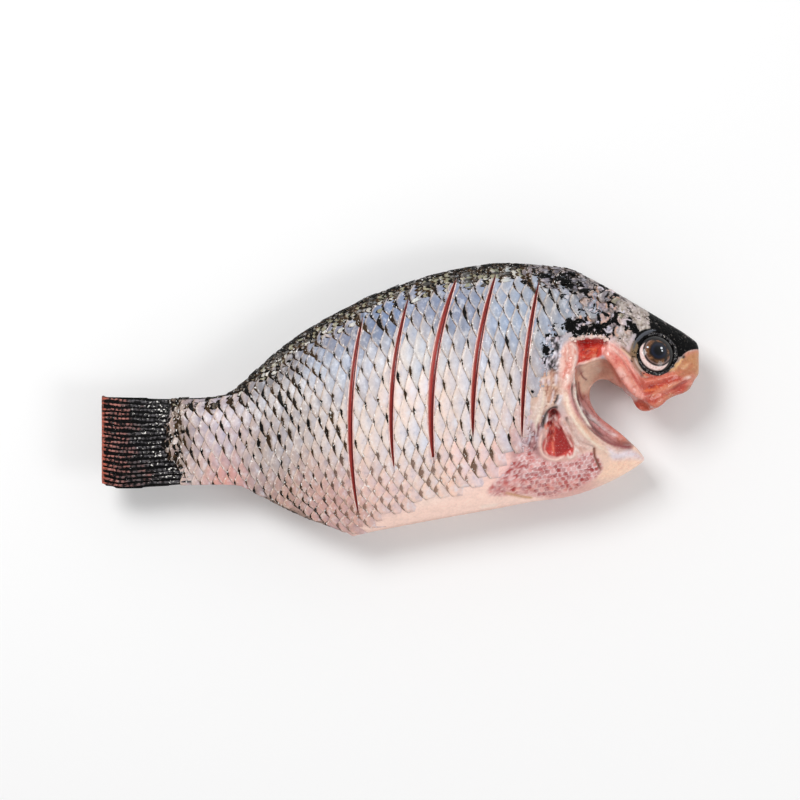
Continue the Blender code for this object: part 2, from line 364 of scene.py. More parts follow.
def add_piece(name, mesh, material):
    """Shows a finished mesh as a piece of the fish."""
    mesh.name = name
    piece = bpy.data.objects.new(name, mesh)
    bpy.context.scene.collection.objects.link(piece)
    mesh.materials.clear()
    mesh.materials.append(material)
    mesh.shade_smooth()
    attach(piece, "root")
    print(name, len(mesh.vertices), "points", len(mesh.polygons), "faces")
    return piece


# %% [markdown]
# ## What is where on the flank
#
# The colour of a fish changes slowly over its body: blue-grey above, pearly in the middle, pink below
# and nearly white at the throat.  A handful of listed colours at listed places, blended by
# distance, gives that slow change.  The same field colours the skin and every scale on it.

# %% The slow colours of the flank
TONES = (
    (-10, 34, (122, 138, 168)), (22, 40, (140, 148, 170)), (52, 36, (168, 180, 200)),
    (70, 44, (158, 162, 172)), (5, 2, (248, 230, 224)), (40, 6, (228, 222, 224)), (6, 18, (214, 212, 214)),
    (-28, 12, (158, 166, 184)), (-45, -6, (186, 178, 178)), (-60, -26, (188, 178, 178)),
    (-85, -18, (202, 188, 196)), (-100, -19, (160, 142, 140)), (-108, -20, (120, 104, 98)),
    (-24, -12, (232, 219, 214)), (8, -20, (238, 227, 225)), (36, -14, (230, 220, 220)), (30, -28, (252, 216, 210)),
    (10, -34, (234, 212, 206)), (12, -46, (255, 224, 210)), (45, -42, (255, 212, 196)), (28, -38, (250, 216, 204)), (0, -44, (240, 204, 196)), (48, -30, (250, 204, 196)),
    (-28, -50, (214, 168, 160)), (-50, -46, (194, 158, 150)), (-79, -36, (226, 164, 156)), (-93, -32, (206, 186, 184)), (-62, -42, (182, 152, 146)),
    (75, -38, (222, 168, 158)), (60, -22, (200, 142, 136)), (98, -30, (240, 204, 184)),
    (64, 12, (190, 176, 176)), (64, 26, (176, 178, 188)), (-58, 14, (126, 124, 128)), (-30, 32, (122, 126, 146)),
)


def flank_tone(x, y):
    x = np.asarray(x, float)
    y = np.asarray(y, float)
    total = np.zeros(x.shape + (3,))
    weight = np.zeros(x.shape)
    for px, py, shade in TONES:
        near = 1.0 / (((x - px) / 1.25) ** 2 + (y - py) ** 2 + 30.0) ** 2
        total += near[..., None] * colour(*shade)
        weight += near
    return total / weight[..., None]


BACK_EDGE = ((-100, 0.8), (-91, 0.8), (-80, 2.2), (-72, 7.0), (-58, 20.2), (-42, 31.8), (-31, 38.2),
             (-15, 46.5), (0, 52.0), (20, 58.1), (45, 61.9), (60, 61.4), (75, 59.8), (88, 54.3),
             (100, 47.5), (111, 41), (120, 35.6), (128, 30.8), (135, 24.4))
BELLY_EDGE = ((-100, -38.8), (-80, -38.2), (-72, -38.8), (-68, -41), (-58, -46.3), (-42, -54),
              (-31, -57.6), (-21.5, -62.1), (0, -57.4), (20, -53.6), (45, -49.1), (60, -46.2),
              (75, -44.2), (88, -40.2), (100, -34.7), (111, -27.4))


def below_back(x, y):
    """How far a place is below the outline of the back."""
    edge = np.array(BACK_EDGE, float)
    return np.interp(x, edge[:, 0], edge[:, 1]) - y


def above_belly(x, y):
    edge = np.array(BELLY_EDGE, float)
    return y - np.interp(x, edge[:, 0], edge[:, 1])


def keep_between(x, y):
    """Folds what would stand out past the back or the belly back onto the outline."""
    over = np.minimum(below_back(x, y) - 0.5, 0.0)
    under = np.minimum(above_belly(x, y) - 0.5, 0.0)
    return y + 0.95 * over - 0.95 * under


# %% [markdown]
# Black pigment lies in irregular blotches on the nape and beside the last scores.  Each blotch is a
# place, a size, a lean and a strength; skin and scales read the same list, so they match.

# %% The black blotches
BLOTCHES = (
    (57.0, 52.4, 2.4, 1.1, -0.5, 0.9), (63.9, 55.9, 1.8, 0.8, 0.0, 0.9), (67.1, 55.9, 1.4, 0.8, 0.2, 0.85),
    (74.9, 52.5, 1.9, 2.7, 0.2, 1.0), (71.8, 55.5, 1.4, 1.2, 0.0, 0.95), (77.9, 56.5, 1.7, 0.8, -0.3, 0.95),
    (80.7, 52.3, 1.0, 1.1, 0.4, 0.95), (83.1, 49.1, 1.9, 1.1, 0.1, 1.0), (77.5, 48.2, 1.8, 0.7, -0.5, 1.0),
    (85.4, 45.8, 0.9, 1.6, 0.6, 0.8), (72.8, 46.1, 1.3, 2.3, 0.5, 1.0), (69.6, 54.0, 1.0, 0.8, 0.0, 0.9),
    (69.9, 51.0, 1.0, 0.8, -0.5, 0.9), (91.6, 48.6, 1.2, 0.8, 0.0, 0.8), (92.4, 45.2, 0.8, 2.0, 0.0, 0.85),
    (87.1, 42.0, 1.4, 1.1, 0.5, 0.9), (91.4, 39.0, 3.0, 0.8, -0.5, 0.9), (89.2, 36.7, 0.9, 2.4, 0.3, 0.9),
    (93.4, 34.6, 3.4, 1.1, 0.5, 1.0), (96.6, 38.2, 1.0, 2.2, -0.3, 0.8), (88.8, 32.6, 3.0, 1.6, 0.2, 1.0),
    (83.1, 31.8, 4.2, 1.1, 0.0, 1.0), (81.6, 35.4, 2.6, 1.2, -0.2, 0.8), (80.2, 40.2, 0.9, 3.4, -0.5, 0.9),
    (76.2, 33.2, 3.6, 3.0, 0.2, 1.0), (79.4, 30.2, 2.6, 1.3, 0.0, 1.0), (87.6, 30.0, 2.2, 0.9, 0.0, 0.9),
    (84.4, 29.6, 1.2, 0.7, 0.3, 0.8), (91.6, 29.8, 0.7, 1.4, 0.7, 0.8), (68.8, 32.9, 0.8, 1.8, 0.1, 0.85),
    (69.6, 29.2, 1.2, 0.9, 0.4, 0.85), (65.4, 28.6, 0.8, 2.4, 0.15, 0.9), (61.7, 29.9, 0.6, 2.2, 0.2, 0.8),
    (103.0, 35.4, 1.2, 2.4, 0.1, 0.9), (104.8, 32.8, 2.2, 1.4, -0.8, 0.95), (101.6, 33.0, 1.2, 1.8, 0.3, 0.7),
    (98.6, 27.4, 1.0, 0.6, 0.4, 0.6), (97.4, 31.6, 0.8, 0.6, 0.0, 0.55), (100.4, 29.0, 0.7, 0.6, 0.0, 0.55),
    (64.9, 22.6, 1.3, 3.2, 0.1, 1.0), (65.4, 18.0, 1.5, 2.2, 0.2, 1.0), (67.0, 29.0, 1.0, 0.8, 0.8, 0.9), (68.4, 22.0, 0.6, 1.8, 0.5, 0.85), (62.4, 27.4, 0.7, 2.2, -0.2, 0.8),
    (70.2, 21.4, 1.0, 1.4, 0.4, 0.8), (61.3, 12.6, 0.5, 1.8, 0.0, 0.7), (59.4, 3.4, 0.9, 0.8, -0.5, 0.9),
    (65.0, 15.0, 0.8, 0.9, 0.0, 0.6), (66.0, 44.6, 1.2, 1.0, 0.0, 0.5),
)


def blotches(x, y):
    """How much black pigment the listed blotches put at each place."""
    most = np.zeros(np.shape(x))
    for px, py, wide, high, lean, strength in BLOTCHES:
        dx, dy = x - px, y - py
        along = (dx * math.cos(lean) + dy * math.sin(lean)) / wide
        across = (dy * math.cos(lean) - dx * math.sin(lean)) / high
        most = np.maximum(most, strength * np.exp(-0.6 * (along ** 2 + across ** 2)))
    return most


# %% [markdown]
# ## Strokes that paint and model at once
#
# A fold of flesh is both a ridge and a change of colour, so one stroke does both.  A stroke follows a
# smooth line with a width, a height in millimetres and a colour; a patch fills a smooth outline in the
# same way.  Lists of them read like notes made in front of the fish.

# %% Apply strokes to the skin
def cells(places, x, y):
    """For every point, how far it is inside the cell of its nearest place, and which place that is."""
    first = np.full(len(x), 1e9)
    second = first.copy()
    which = np.zeros(len(x), int)
    for number, (px, py) in enumerate(places):
        away = np.hypot(x - px, (y - py) * 1.2)
        second = np.where(away < first, first, np.minimum(second, away))
        which = np.where(away < first, number, which)
        first = np.minimum(first, away)
    return second - first, which


class Sheet:
    """The skin as it is being painted and modelled."""

    def __init__(self, mesh):
        self.mesh = mesh
        points = points_of(mesh) / MM
        self.x, self.y = points[:, 0], points[:, 1]
        self.z = points[:, 2] - MIDDLE / MM
        self.high = np.abs(self.z)
        self.facing = facings_of(mesh)
        self.level = np.abs(self.facing[:, 2])
        self.lift = np.zeros(len(points))
        self.paint = np.zeros((len(points), 3))
        self.pigment = np.zeros(len(points))
        self.wet = np.zeros(len(points))
        self.grain = np.zeros(len(points))
        self.draw = random.Random(3)

    def lay(self, weight, shade=None, height=0.0, pigment=None, wet=None):
        if shade is not None:
            self.paint += (colour(*shade) - self.paint) * weight[:, None]
        if pigment is not None:
            self.pigment += (pigment - self.pigment) * weight
        if wet is not None:
            self.wet += (wet - self.wet) * weight
        self.lift += height * weight

    def near(self, points, margin):
        line = np.array(points, float)
        low, high = line.min(0) - margin, line.max(0) + margin
        return np.flatnonzero((self.x > low[0]) & (self.x < high[0])
                              & (self.y > low[1]) & (self.y < high[1]))

    def stroke(self, points, width, shade=None, height=0.0, taper=8.0, closed=False, **more):
        """A rounded ridge or groove, full in the middle of its line and thin at its ends."""
        chosen = self.near(points, width * 2.5)
        away, along = distance_to(curve_through(points, closed), self.x[chosen], self.y[chosen])
        ends = np.sqrt(np.clip(np.minimum(along, 1 - along) * taper, 0, 1))
        weight = np.zeros(len(self.x))
        weight[chosen] = np.exp(-(away / (width * (0.35 + 0.65 * ends) * 0.6)) ** 2) * ends
        self.lay(weight, shade, height, **more)

    def patch(self, points, soft=1.0, shade=None, height=0.0, **more):
        chosen = self.near(points, soft * 2 + 2)
        weight = np.zeros(len(self.x))
        weight[chosen] = patch(points, self.x[chosen], self.y[chosen], soft)
        self.lay(weight, shade, height, **more)

    def strands(self, course, count, spread, shades, width=0.9, height=0.25, reach=0.3, **more):
        """Many thin strokes beside one line, pale ones raised and dark ones sunk."""
        line = curve_through(course, steps=8)
        ahead = np.gradient(line, axis=0)
        sideways = np.column_stack([-ahead[:, 1], ahead[:, 0]]) / np.linalg.norm(ahead, axis=1)[:, None]
        for _ in range(count):
            span = max(4, int(len(line) * reach * self.draw.uniform(0.5, 1.4)))
            first = self.draw.randrange(max(1, len(line) - span))
            off = self.draw.gauss(0.0, spread)
            path = (line + sideways * off)[first:first + span:3]
            shade = self.draw.choice(shades)
            self.stroke(path, width * self.draw.uniform(0.7, 1.5), shade,
                        height * (1 if sum(shade) > 400 else -1), taper=2.6, **more)

    def crumple(self, weight, size, height, light, dark, amount=0.5, seed=1.0):
        """Folds like those of wet loose skin: sharp ridges, round valleys, with painted highlight on the ridges and
        painted shade in the valleys.
        """
        chosen = np.flatnonzero(weight > 0.01)
        x, y = self.x[chosen] + 40.0 * (self.z[chosen] < 0), self.y[chosen]
        bent = wobble(x, y, size * 2.0, seed + 5.0) * size * 0.8
        ridge = np.zeros(len(self.x))
        ridge[chosen] = 1.0 - 2.6 * np.abs(wobble(x + bent, y - bent, size, seed))
        # Painted light: the ridges take the light colour as painted highlight, the valleys the dark colour as painted
        # shade.
        self.lay(weight * np.clip(ridge, 0, 1) * amount, light)
        self.lay(weight * np.clip(-ridge * 2.0, 0, 1) * amount, dark)
        self.lift += weight * ridge * height

    def lobes(self, weight, size, shades, seam, amount, height, seed):
        """Loose skin in small raised lobes, each of its own shade, with broken dark seams between."""
        chosen = np.flatnonzero(weight > 0.01)
        x = self.x[chosen] + 0.3 * size * wobble(self.x[chosen], self.y[chosen], size, seed)
        y = self.y[chosen] + 0.3 * size * wobble(self.x[chosen], self.y[chosen], size, seed + 1.0)
        draw = random.Random(int(seed))
        places = [(a + size * (0.5 * (row % 2) + draw.uniform(-0.3, 0.3)), b + size * draw.uniform(-0.3, 0.3))
                  for row, b in enumerate(np.arange(y.min(), y.max(), size))
                  for a in np.arange(x.min(), x.max(), size * 0.9)]
        inward, which = cells(places, x, y)
        tones = np.array([colour(*draw.choice(shades)) for _ in places])
        share = weight[chosen]
        self.paint[chosen] += (tones[which] - self.paint[chosen]) * (share * amount)[:, None]
        gap = smoothstep(1.1, 0.3, inward) * smoothstep(-0.35, 0.0, wobble(x, y, size * 1.6, seed + 2.0))
        self.paint[chosen] += (colour(*seam) - self.paint[chosen]) * (share * gap)[:, None]
        self.lift[chosen] += share * height * (smoothstep(0.0, size * 0.5, inward) - 0.6)

    def finish(self):
        points = points_of(self.mesh)
        amount = self.lift * np.sqrt(self.level) * MM
        points = points + self.facing * amount[:, None]
        points[:, 2] = np.maximum(points[:, 2], MIDDLE - UNDER_LIMIT * MM)
        set_points(self.mesh, points)
        add_layer(self.mesh, "paint", np.column_stack([self.paint, np.ones(len(self.x))]))
        add_layer(self.mesh, "marks", np.column_stack(
            [self.pigment, self.wet, self.grain, np.ones(len(self.x))]))
        edge = curve_through(BACK_EDGE, steps=3)
        near = np.flatnonzero(below_back(self.x, self.y) < 16.0)
        flow = np.ones((len(self.x), 4))
        away, along = distance_to(edge, self.x[near], self.y[near])
        flow[near, 0], flow[near, 1] = along * 27.0, away / 10.0
        add_layer(self.mesh, "flow", flow)


skin = Sheet(skin_mesh)
skin.paint[:] = flank_tone(skin.x, skin.y)

# %% Cut clean grooves where the scores are
# The groove is wider and deeper than the cut, and the red flesh made later lines it.
points = points_of(skin_mesh)
for score in SCORES:
    line, half = score_line(*score)
    line = line[::-1]
    half = half[::-1]
    middle = np.interp(skin.y, line[:, 1], line[:, 0])
    room = np.interp(skin.y, line[:, 1], half) + 0.35
    within = (skin.y > line[0, 1] - 1) & (skin.y < line[-1, 1] + 1) & (skin.high > 3.0)
    away = np.abs(skin.x - middle)
    close = within & (away < room + 1.6)
    full = height_on(skin.z, skin.x, skin.y)
    depth = 5.6 * smoothstep(room + 0.25, room - 0.35, away)
    height = np.where(close, full - depth, skin.high)
    points[:, 2] = np.where(close, MIDDLE + np.sign(skin.z) * height * MM, points[:, 2])
set_points(skin_mesh, points)

# %% [markdown]
# ## The back, the belly and the tail root
#
# Along the back the skin is nearly black and set with small pale scales.  The belly is a smooth pink
# band.  Behind the belly the stubs of the trimmed fin leave a strip of torn, dark-dotted skin.

# %% Paint the back, the belly and the tail
def tail_border(y):
    """Where the scales end and the bare rays of the fin begin."""
    return np.interp(y, (-38, -34, -27, -21, -16, 0), (-95, -97, -104, -109, -106.5, -104.5))


back = below_back(skin.x, skin.y)
belly = above_belly(skin.x, skin.y)
behind_head = smoothstep(80, 66, skin.x)
skin.lay(smoothstep(13, 5, back) * behind_head * smoothstep(-104, -88, skin.x), (120, 118, 112), pigment=0.40)
skin.lay(smoothstep(6.0, 2.5, back) * smoothstep(66, 48, skin.x), (112, 108, 100), pigment=0.62)
skin.lay(smoothstep(2.4, 0.8, back) * smoothstep(46, 60, skin.x) * smoothstep(112, 100, skin.x), (88, 72, 70),
         pigment=0.3)
skin.lay(smoothstep(1.6, 0.3, back) * behind_head * smoothstep(-60, -30, skin.x), (170, 168, 168), pigment=0.3)
skin.grain = smoothstep(11, 5, back)
border = tail_border(skin.y) + wobble(skin.x * 0.2, skin.y, 2.0, 5)
skin.lay(smoothstep(border + 2.4, border + 0.6, skin.x), (24, 21, 22), pigment=0.85)
skin.lay(smoothstep(-132.8, -134.2, skin.x), (158, 84, 66), pigment=0.42, wet=0.6)
ANAL_STRIP = ((-70, -40.6), (-62, -43.6), (-52, -48.4), (-42, -53.2), (-33, -56.4), (-25, -58.6))
skin.stroke(ANAL_STRIP, 3.2, (140, 112, 98), 0.5, pigment=0.5)
skin.stroke(((-36, -49.5), (-30, -51.5), (-24, -54)), 2.6, (196, 118, 110), -0.2, pigment=0.1)
skin.patch(((-20, -60), (-12, -55), (2, -50), (22, -45), (44, -38), (60, -38), (66, -44), (40, -52),
            (10, -58)), 2.5, (255, 218, 203))
skin.stroke(((-20, -62), (0, -57.6), (20, -53.8), (45, -49.4), (62, -46.4)), 2.0, (214, 168, 152))

# %% [markdown]
# ## The head and the torn throat
#
# The gills were pulled out through the throat, so the edge of the gill opening shows as a thick pale
# rim, with raw red flesh above it and a thin web of skin behind.  The strokes run from the rim inwards.

# %% Paint and model the head
NAPE = ((61, 62), (78, 60), (92, 53), (106, 44), (113.2, 39), (112.6, 32), (108, 30), (103, 27), (101, 22),
        (96, 22), (86, 27), (72, 27), (66, 30), (62, 44))
skin.patch(NAPE, 2.5, (176, 166, 172), pigment=0.30)
skin.patch(((92, 52), (104, 45), (112, 40), (112, 32), (106, 31), (98, 38)), 2.5, (176, 168, 152),
           pigment=0.24)
skin.patch(((94, 40), (101, 37), (103, 30), (105, 25), (102, 20), (95, 24), (91, 31)), 1.8,
           (204, 182, 184), pigment=0.12)
nape = patch(NAPE, skin.x, skin.y, 2.5)
skin.lay(nape * smoothstep(11, 3, below_back(skin.x, skin.y)) * 0.6, (140, 128, 126))
NAPE_ZONES = (
    (((62, 36), (66, 50), (72, 54), (79, 51), (85, 46), (82, 40), (78, 36), (70, 34)), 3.2, 0.75, 0.30,
     ((166, 176, 196), (184, 190, 204), (150, 160, 178), (192, 194, 204)), (74, 58, 52)),
    (((79, 51), (88, 50), (96, 45), (101, 38), (99, 30), (92, 28), (82, 28), (79, 36), (82, 42)), 2.9, 0.9, 0.55,
     ((198, 182, 196), (204, 156, 138), (112, 88, 76), (190, 186, 206), (176, 136, 122), (132, 112, 118)),
     (30, 23, 22)),
    (((62, 62), (80, 60), (96, 52), (106, 45), (112, 40), (108, 38), (98, 44), (88, 50), (76, 55), (62, 56)),
     2.2, 0.8, 0.30, ((150, 136, 134), (128, 116, 112), (172, 160, 154), (104, 90, 86)), (52, 42, 40)),
    (((98, 44), (106, 43), (113, 38), (111, 31), (105, 30), (101, 24), (96, 25), (98, 34)), 1.8, 0.7, 0.22,
     ((204, 194, 180), (220, 208, 200), (188, 174, 162), (224, 208, 208)), (134, 118, 106)),
)
for number, (outline, size, amount, height, shades, seam) in enumerate(NAPE_ZONES):
    zone = patch(outline, skin.x, skin.y, 1.6)
    skin.lobes(zone, size, shades, seam, amount, height, 20.0 + number)
# The crumple paints highlight on the nape's fold ridges and shade in their valleys.
skin.crumple(nape, 1.5, 0.16, (216, 204, 206), (98, 80, 74), amount=0.4, seed=4.0)
# Each fold is a raised pale arc painted as a highlight, with a dark arc of painted shadow just outside it.
for _ in range(34):
    x, y = skin.draw.uniform(79, 100), skin.draw.uniform(30, 50)
    turn, size = skin.draw.uniform(0, 6.3), skin.draw.uniform(1.2, 2.4)
    arc = [(x + size * math.cos(turn + a), y + size * 1.2 * math.sin(turn + a)) for a in (0.0, 0.9, 1.8, 2.7)]
    skin.stroke(arc, 0.8, skin.draw.choice(((228, 204, 200), (222, 214, 226), (214, 170, 146))), 0.4)
    shadow = [(x + (size + 0.8) * math.cos(turn + a), y + (size + 0.8) * 1.2 * math.sin(turn + a))
              for a in (0.3, 0.9, 1.5, 2.1)]
    skin.stroke(shadow, 0.9, (40, 30, 28), -0.4, pigment=0.75)
SNOUT = ((113.4, 41), (112.8, 36), (112.6, 32.2), (110.0, 31.6), (107.0, 30.0), (104.6, 26.0),
         (103.0, 20.6), (103.6, 16.4), (106.0, 13.0), (109.3, 10.5), (112.8, 9.7), (116.4, 11.2),
         (121, 13.6), (125.4, 18.6), (128.0, 20.6), (131.6, 22.6), (136, 23.6), (137, 30), (124, 38))
skin.patch(SNOUT, 0.7, (34, 32, 32), pigment=1.0)
skin.patch(((104.6, 26.0), (107.0, 25.0), (106.4, 20.0), (108.4, 15.0), (106.0, 13.0), (103.6, 16.4),
            (102.6, 20.6)), 0.9, (128, 104, 74), pigment=0.42)
skin.stroke(((98.6, 24.0), (101.6, 21.4), (104.4, 18.6), (106.2, 15.0)), 1.4, (96, 78, 48), -0.2, pigment=0.4)
skin.stroke(((98.2, 23.0), (101.0, 20.8), (103.4, 18.4)), 0.8, (226, 200, 160), 0.3, pigment=0.0)
skin.stroke(((113.4, 40.0), (120.0, 35.4), (127.0, 31.2), (133.0, 26.6)), 1.2, (112, 96, 98), 0.0, pigment=0.3)
skin.strands(((113.6, 37.6), (119.0, 33.0), (125.0, 30.0), (130.6, 26.0)), 26, 2.4, ((126, 116, 110), (60, 56, 54)),
             0.7, 0.15, 0.12, pigment=0.55)
for first, last, away, shade in ((1.5, 3.0, 10.6, (80, 84, 92)), (1.7, 2.6, 9.9, (70, 72, 80)),
                                 (3.3, 5.2, 10.0, (196, 176, 166)), (3.5, 4.9, 11.0, (104, 84, 62)),
                                 (5.3, 6.2, 10.6, (150, 126, 116)), (5.5, 6.1, 12.0, (112, 92, 84))):
    arc = [(EYE[0] - 0.4 + away * math.cos(a), EYE[1] - 0.6 + away * math.sin(a)) for a in np.linspace(first, last, 6)]
    skin.stroke(arc, 0.9, shade, 0.35, pigment=0.15)
skin.stroke(((103.0, 37.4), (103.2, 34.4), (104.6, 31.4), (107.6, 30.8)), 2.0, (34, 32, 32), pigment=0.95)
skin.strands(((126.4, 16.6), (129.0, 19.4), (132.0, 21.8)), 9, 0.8, ((232, 222, 210), (180, 160, 140)),
             0.8, 0.2, 0.4, pigment=0.2)
skin.patch(((129.4, 21.6), (126.8, 18.6), (124.2, 14.6), (119.1, 11.0), (114.2, 9.2), (109.3, 10.1),
            (105.4, 13.0), (102, 17), (99, 18), (104, 6), (107, -8), (120, -6), (134, 2), (138, 12),
            (137, 22.0)), 0.8, (206, 132, 108), pigment=0.0, wet=0.8)
skin.patch(((134, 21.6), (128.5, 19.4), (125, 15.0), (121, 11.6), (126, 10.8), (131, 12.4), (136.6, 10),
            (137, 20)), 1.4, (196, 134, 88), wet=0.7)
skin.strands(((107, 11.6), (112, 9.8), (118, 11.8), (124, 15.4), (128.6, 20.4)), 34, 0.5,
             ((236, 190, 130), (32, 28, 26), (214, 160, 110), (40, 32, 28)), 0.8, 0.1, 0.12)
skin.strands(((124, 12.6), (128, 14.0), (133, 17.0)), 9, 1.8, ((216, 160, 116), (188, 112, 76)), 1.2, 0.15, 0.7)
skin.pigment = np.maximum(skin.pigment, blotches(skin.x, skin.y) * (skin.level > 0.2))
skin.stroke(((77.0, 27.0), (80, 27.2), (84, 28.0), (88, 28.4), (91.4, 27.6), (93.6, 25.6), (96.4, 24.0)),
            1.0, (236, 218, 214), 0.45, pigment=0.0)

# %% Paint the raw flesh of the throat
cavity = patch(GILL, skin.x, skin.y, 0.6)
deep = smoothstep(0.4, 3.0, flank_height(skin.x, skin.y) - skin.high)
skin.lay(cavity * deep, (206, 150, 132), pigment=0.0, wet=1.0)
skin.patch(((77.2, 26.4), (84, 27.2), (90.7, 27.5), (92.8, 25.4), (91.6, 21.2), (88.7, 18.6),
            (84.8, 17.6), (79.9, 15.2), (78.2, 14.0), (79.6, 18.5), (79.0, 21), (79.2, 23.6)), 0.7,
           (206, 48, 24), -1.2, pigment=0.0, wet=1.0)
skin.stroke(((79.5, 25.4), (84.0, 26.2), (90.4, 26.2), (92.6, 24.4)), 1.7, (158, 26, 16), -0.8, wet=1.0)
skin.stroke(((82.6, 22.0), (85.4, 22.4), (88.0, 21.4)), 3.2, (222, 92, 48), 1.5, wet=1.0)
skin.stroke(((81.4, 19.0), (84.6, 19.2), (88.2, 20.2)), 1.5, (228, 132, 104), 0.6, wet=1.0)
skin.stroke(((78.4, 14.4), (80.2, 15.8), (82.2, 16.2), (84.6, 17.4), (88.4, 18.6)), 0.9, (246, 206, 196),
            0.5, wet=1.0)
skin.stroke(((78.2, 13.8), (80.2, 14.6), (82.6, 15.4)), 1.0, (128, 14, 8), -0.3, wet=1.0)
skin.stroke(((90.7, 24.4), (95.6, 21.8), (99.3, 17.6), (102.3, 12.4), (105.2, 7.5), (108.4, 3.1),
             (111.8, 1.0)), 5.4, (250, 170, 156), 1.3, wet=1.0)
skin.stroke(((91.2, 20.2), (95.6, 17.2), (98.2, 13.0), (101.4, 8.2), (105, 3.2), (107.6, -0.5)), 2.2,
            (234, 160, 146), 0.8, wet=1.0)
skin.stroke(((94.0, 23.0), (99.0, 19.5), (102.0, 14.2), (105.6, 10.6)), 1.2, (166, 44, 44), -0.5, wet=1.0)
skin.stroke(((92.8, 22.4), (97.4, 18.6), (100.4, 13.6), (103.0, 8.4)), 1.0, (240, 180, 168), 0.4, wet=1.0)
skin.stroke(((101, 12), (104, 8.6), (108, 4.6), (112, 3.2)), 1.6, (236, 140, 104), 0.3, wet=1.0)
skin.patch(((104, 12), (109, 9.4), (115, 9.0), (122, 11), (128, 9.4), (124, 6), (116, 5), (109, 4)), 1.2,
           (192, 74, 50), wet=1.0)
skin.stroke(((107.6, 3.8), (113.3, 4.6), (118.4, 5.4), (121.0, 6.4)), 3.4, (190, 44, 14), -0.6, wet=1.0)
skin.stroke(((131.0, 10.4), (128.6, 9.8), (125, 7.7), (120.1, 5.4), (114, 3.0), (110, 2.0)), 1.1,
            (246, 212, 200), 0.7, wet=1.0)
skin.stroke(((131.4, 8.6), (127.6, 7.0), (122.2, 3.6), (117.8, 1.6)), 1.8, (206, 100, 84), -0.5, wet=1.0)
skin.stroke(((121.0, 2.6), (127.2, 5.0), (132.0, 8.6)), 1.4, (222, 142, 120), 0.4, wet=1.0)
skin.patch(((107, 0.4), (112, 1.6), (116, -0.6), (120, 0.2), (113, -4.6), (109, -5.6), (105.4, -3)), 0.9,
           (200, 84, 64), wet=1.0)
skin.patch(((117, 1.4), (123, 3.6), (130, 6.6), (132, 4.6), (124, 0), (118, -2)), 0.9, (190, 120, 86), wet=1.0)

skin.strands(((91.4, 23.0), (95.8, 19.4), (99.0, 15.6), (102.0, 10.6), (105.4, 5.6), (109.0, 1.2)), 40, 2.0,
             ((220, 112, 98), (246, 176, 162), (228, 130, 114), (252, 204, 192), (200, 80, 66), (240, 158, 136)),
             1.15, 0.35, 0.55, wet=1.0)
skin.strands(((106, 9.6), (111, 7.6), (117, 8.6), (123, 10.6), (129, 11.6)), 16, 1.5,
             ((190, 62, 40), (208, 92, 68), (196, 78, 56), (222, 122, 98)), 1.4, 0.2, 0.7, wet=1.0)
skin.strands(((108.4, 4.2), (112.6, 4.6), (117.6, 5.2), (121.4, 7.2)), 16, 0.8,
             ((196, 44, 12), (216, 76, 34), (160, 22, 8), (236, 120, 70)), 1.1, 0.3, 0.7, wet=1.0)
skin.strands(((121.0, 4.6), (125.0, 6.6), (130.0, 8.8)), 12, 1.1,
             ((200, 88, 74), (240, 196, 180), (184, 70, 56)), 0.9, 0.3, 1.0, wet=1.0)
skin.strands(((107.6, -1.8), (113.0, -2.6), (119.0, 0.6), (126.0, 3.6), (131.0, 6.0)), 18, 1.7,
             ((192, 70, 50), (212, 114, 90), (200, 92, 66), (216, 136, 104)), 1.5, 0.2, 0.6, wet=1.0)
skin.strands(((79.6, 25.0), (84.0, 25.4), (90.0, 25.0)), 12, 1.5, ((160, 18, 12), (206, 54, 32), (176, 24, 16)),
             1.1, 0.3, 0.6, wet=1.0)
skin.strands(((80.6, 17.6), (84.4, 20.4), (88.6, 22.0)), 12, 1.7,
             ((224, 88, 40), (200, 48, 26), (236, 128, 78), (166, 24, 12)), 1.1, 0.35, 0.6, wet=1.0)

# %% Paint the rim of the gill opening and the membranes inside it
CRUST = ((74.0, 25.4), (77.4, 26.6), (79.4, 23), (79.0, 19), (77.6, 14), (76.6, 8.6), (75.0, 2.0), (71.4, 3.0),
         (69.0, 10), (70.2, 17), (71.6, 22))
skin.patch(CRUST, 1.6, (232, 176, 162), 0.3, pigment=0.0, wet=0.8)
# The crumple paints highlight on the crust's ridges and shade in its folds.
skin.crumple(patch(CRUST, skin.x, skin.y, 1.2), 2.2, 0.35, (250, 222, 212), (212, 112, 92), amount=0.6, seed=12.0)
skin.stroke(((73.8, 6.6), (73.4, 1.8), (75.4, -2.8), (79.0, -8.0), (82.6, -13.9), (87.8, -19.2),
             (93.4, -23.0), (101, -25.4)), 3.4, (240, 206, 184), 1.0, pigment=0.0, wet=0.6)
skin.stroke(((75.4, 12.0), (76.0, 5.8), (76.6, 0.2), (77.8, -4.9), (80.2, -10.1), (83.2, -14.6),
             (86.9, -18.0), (92, -20.7), (96.5, -22.0), (105.5, -22.4)), 1.2, (244, 214, 204), 0.7, wet=0.8)
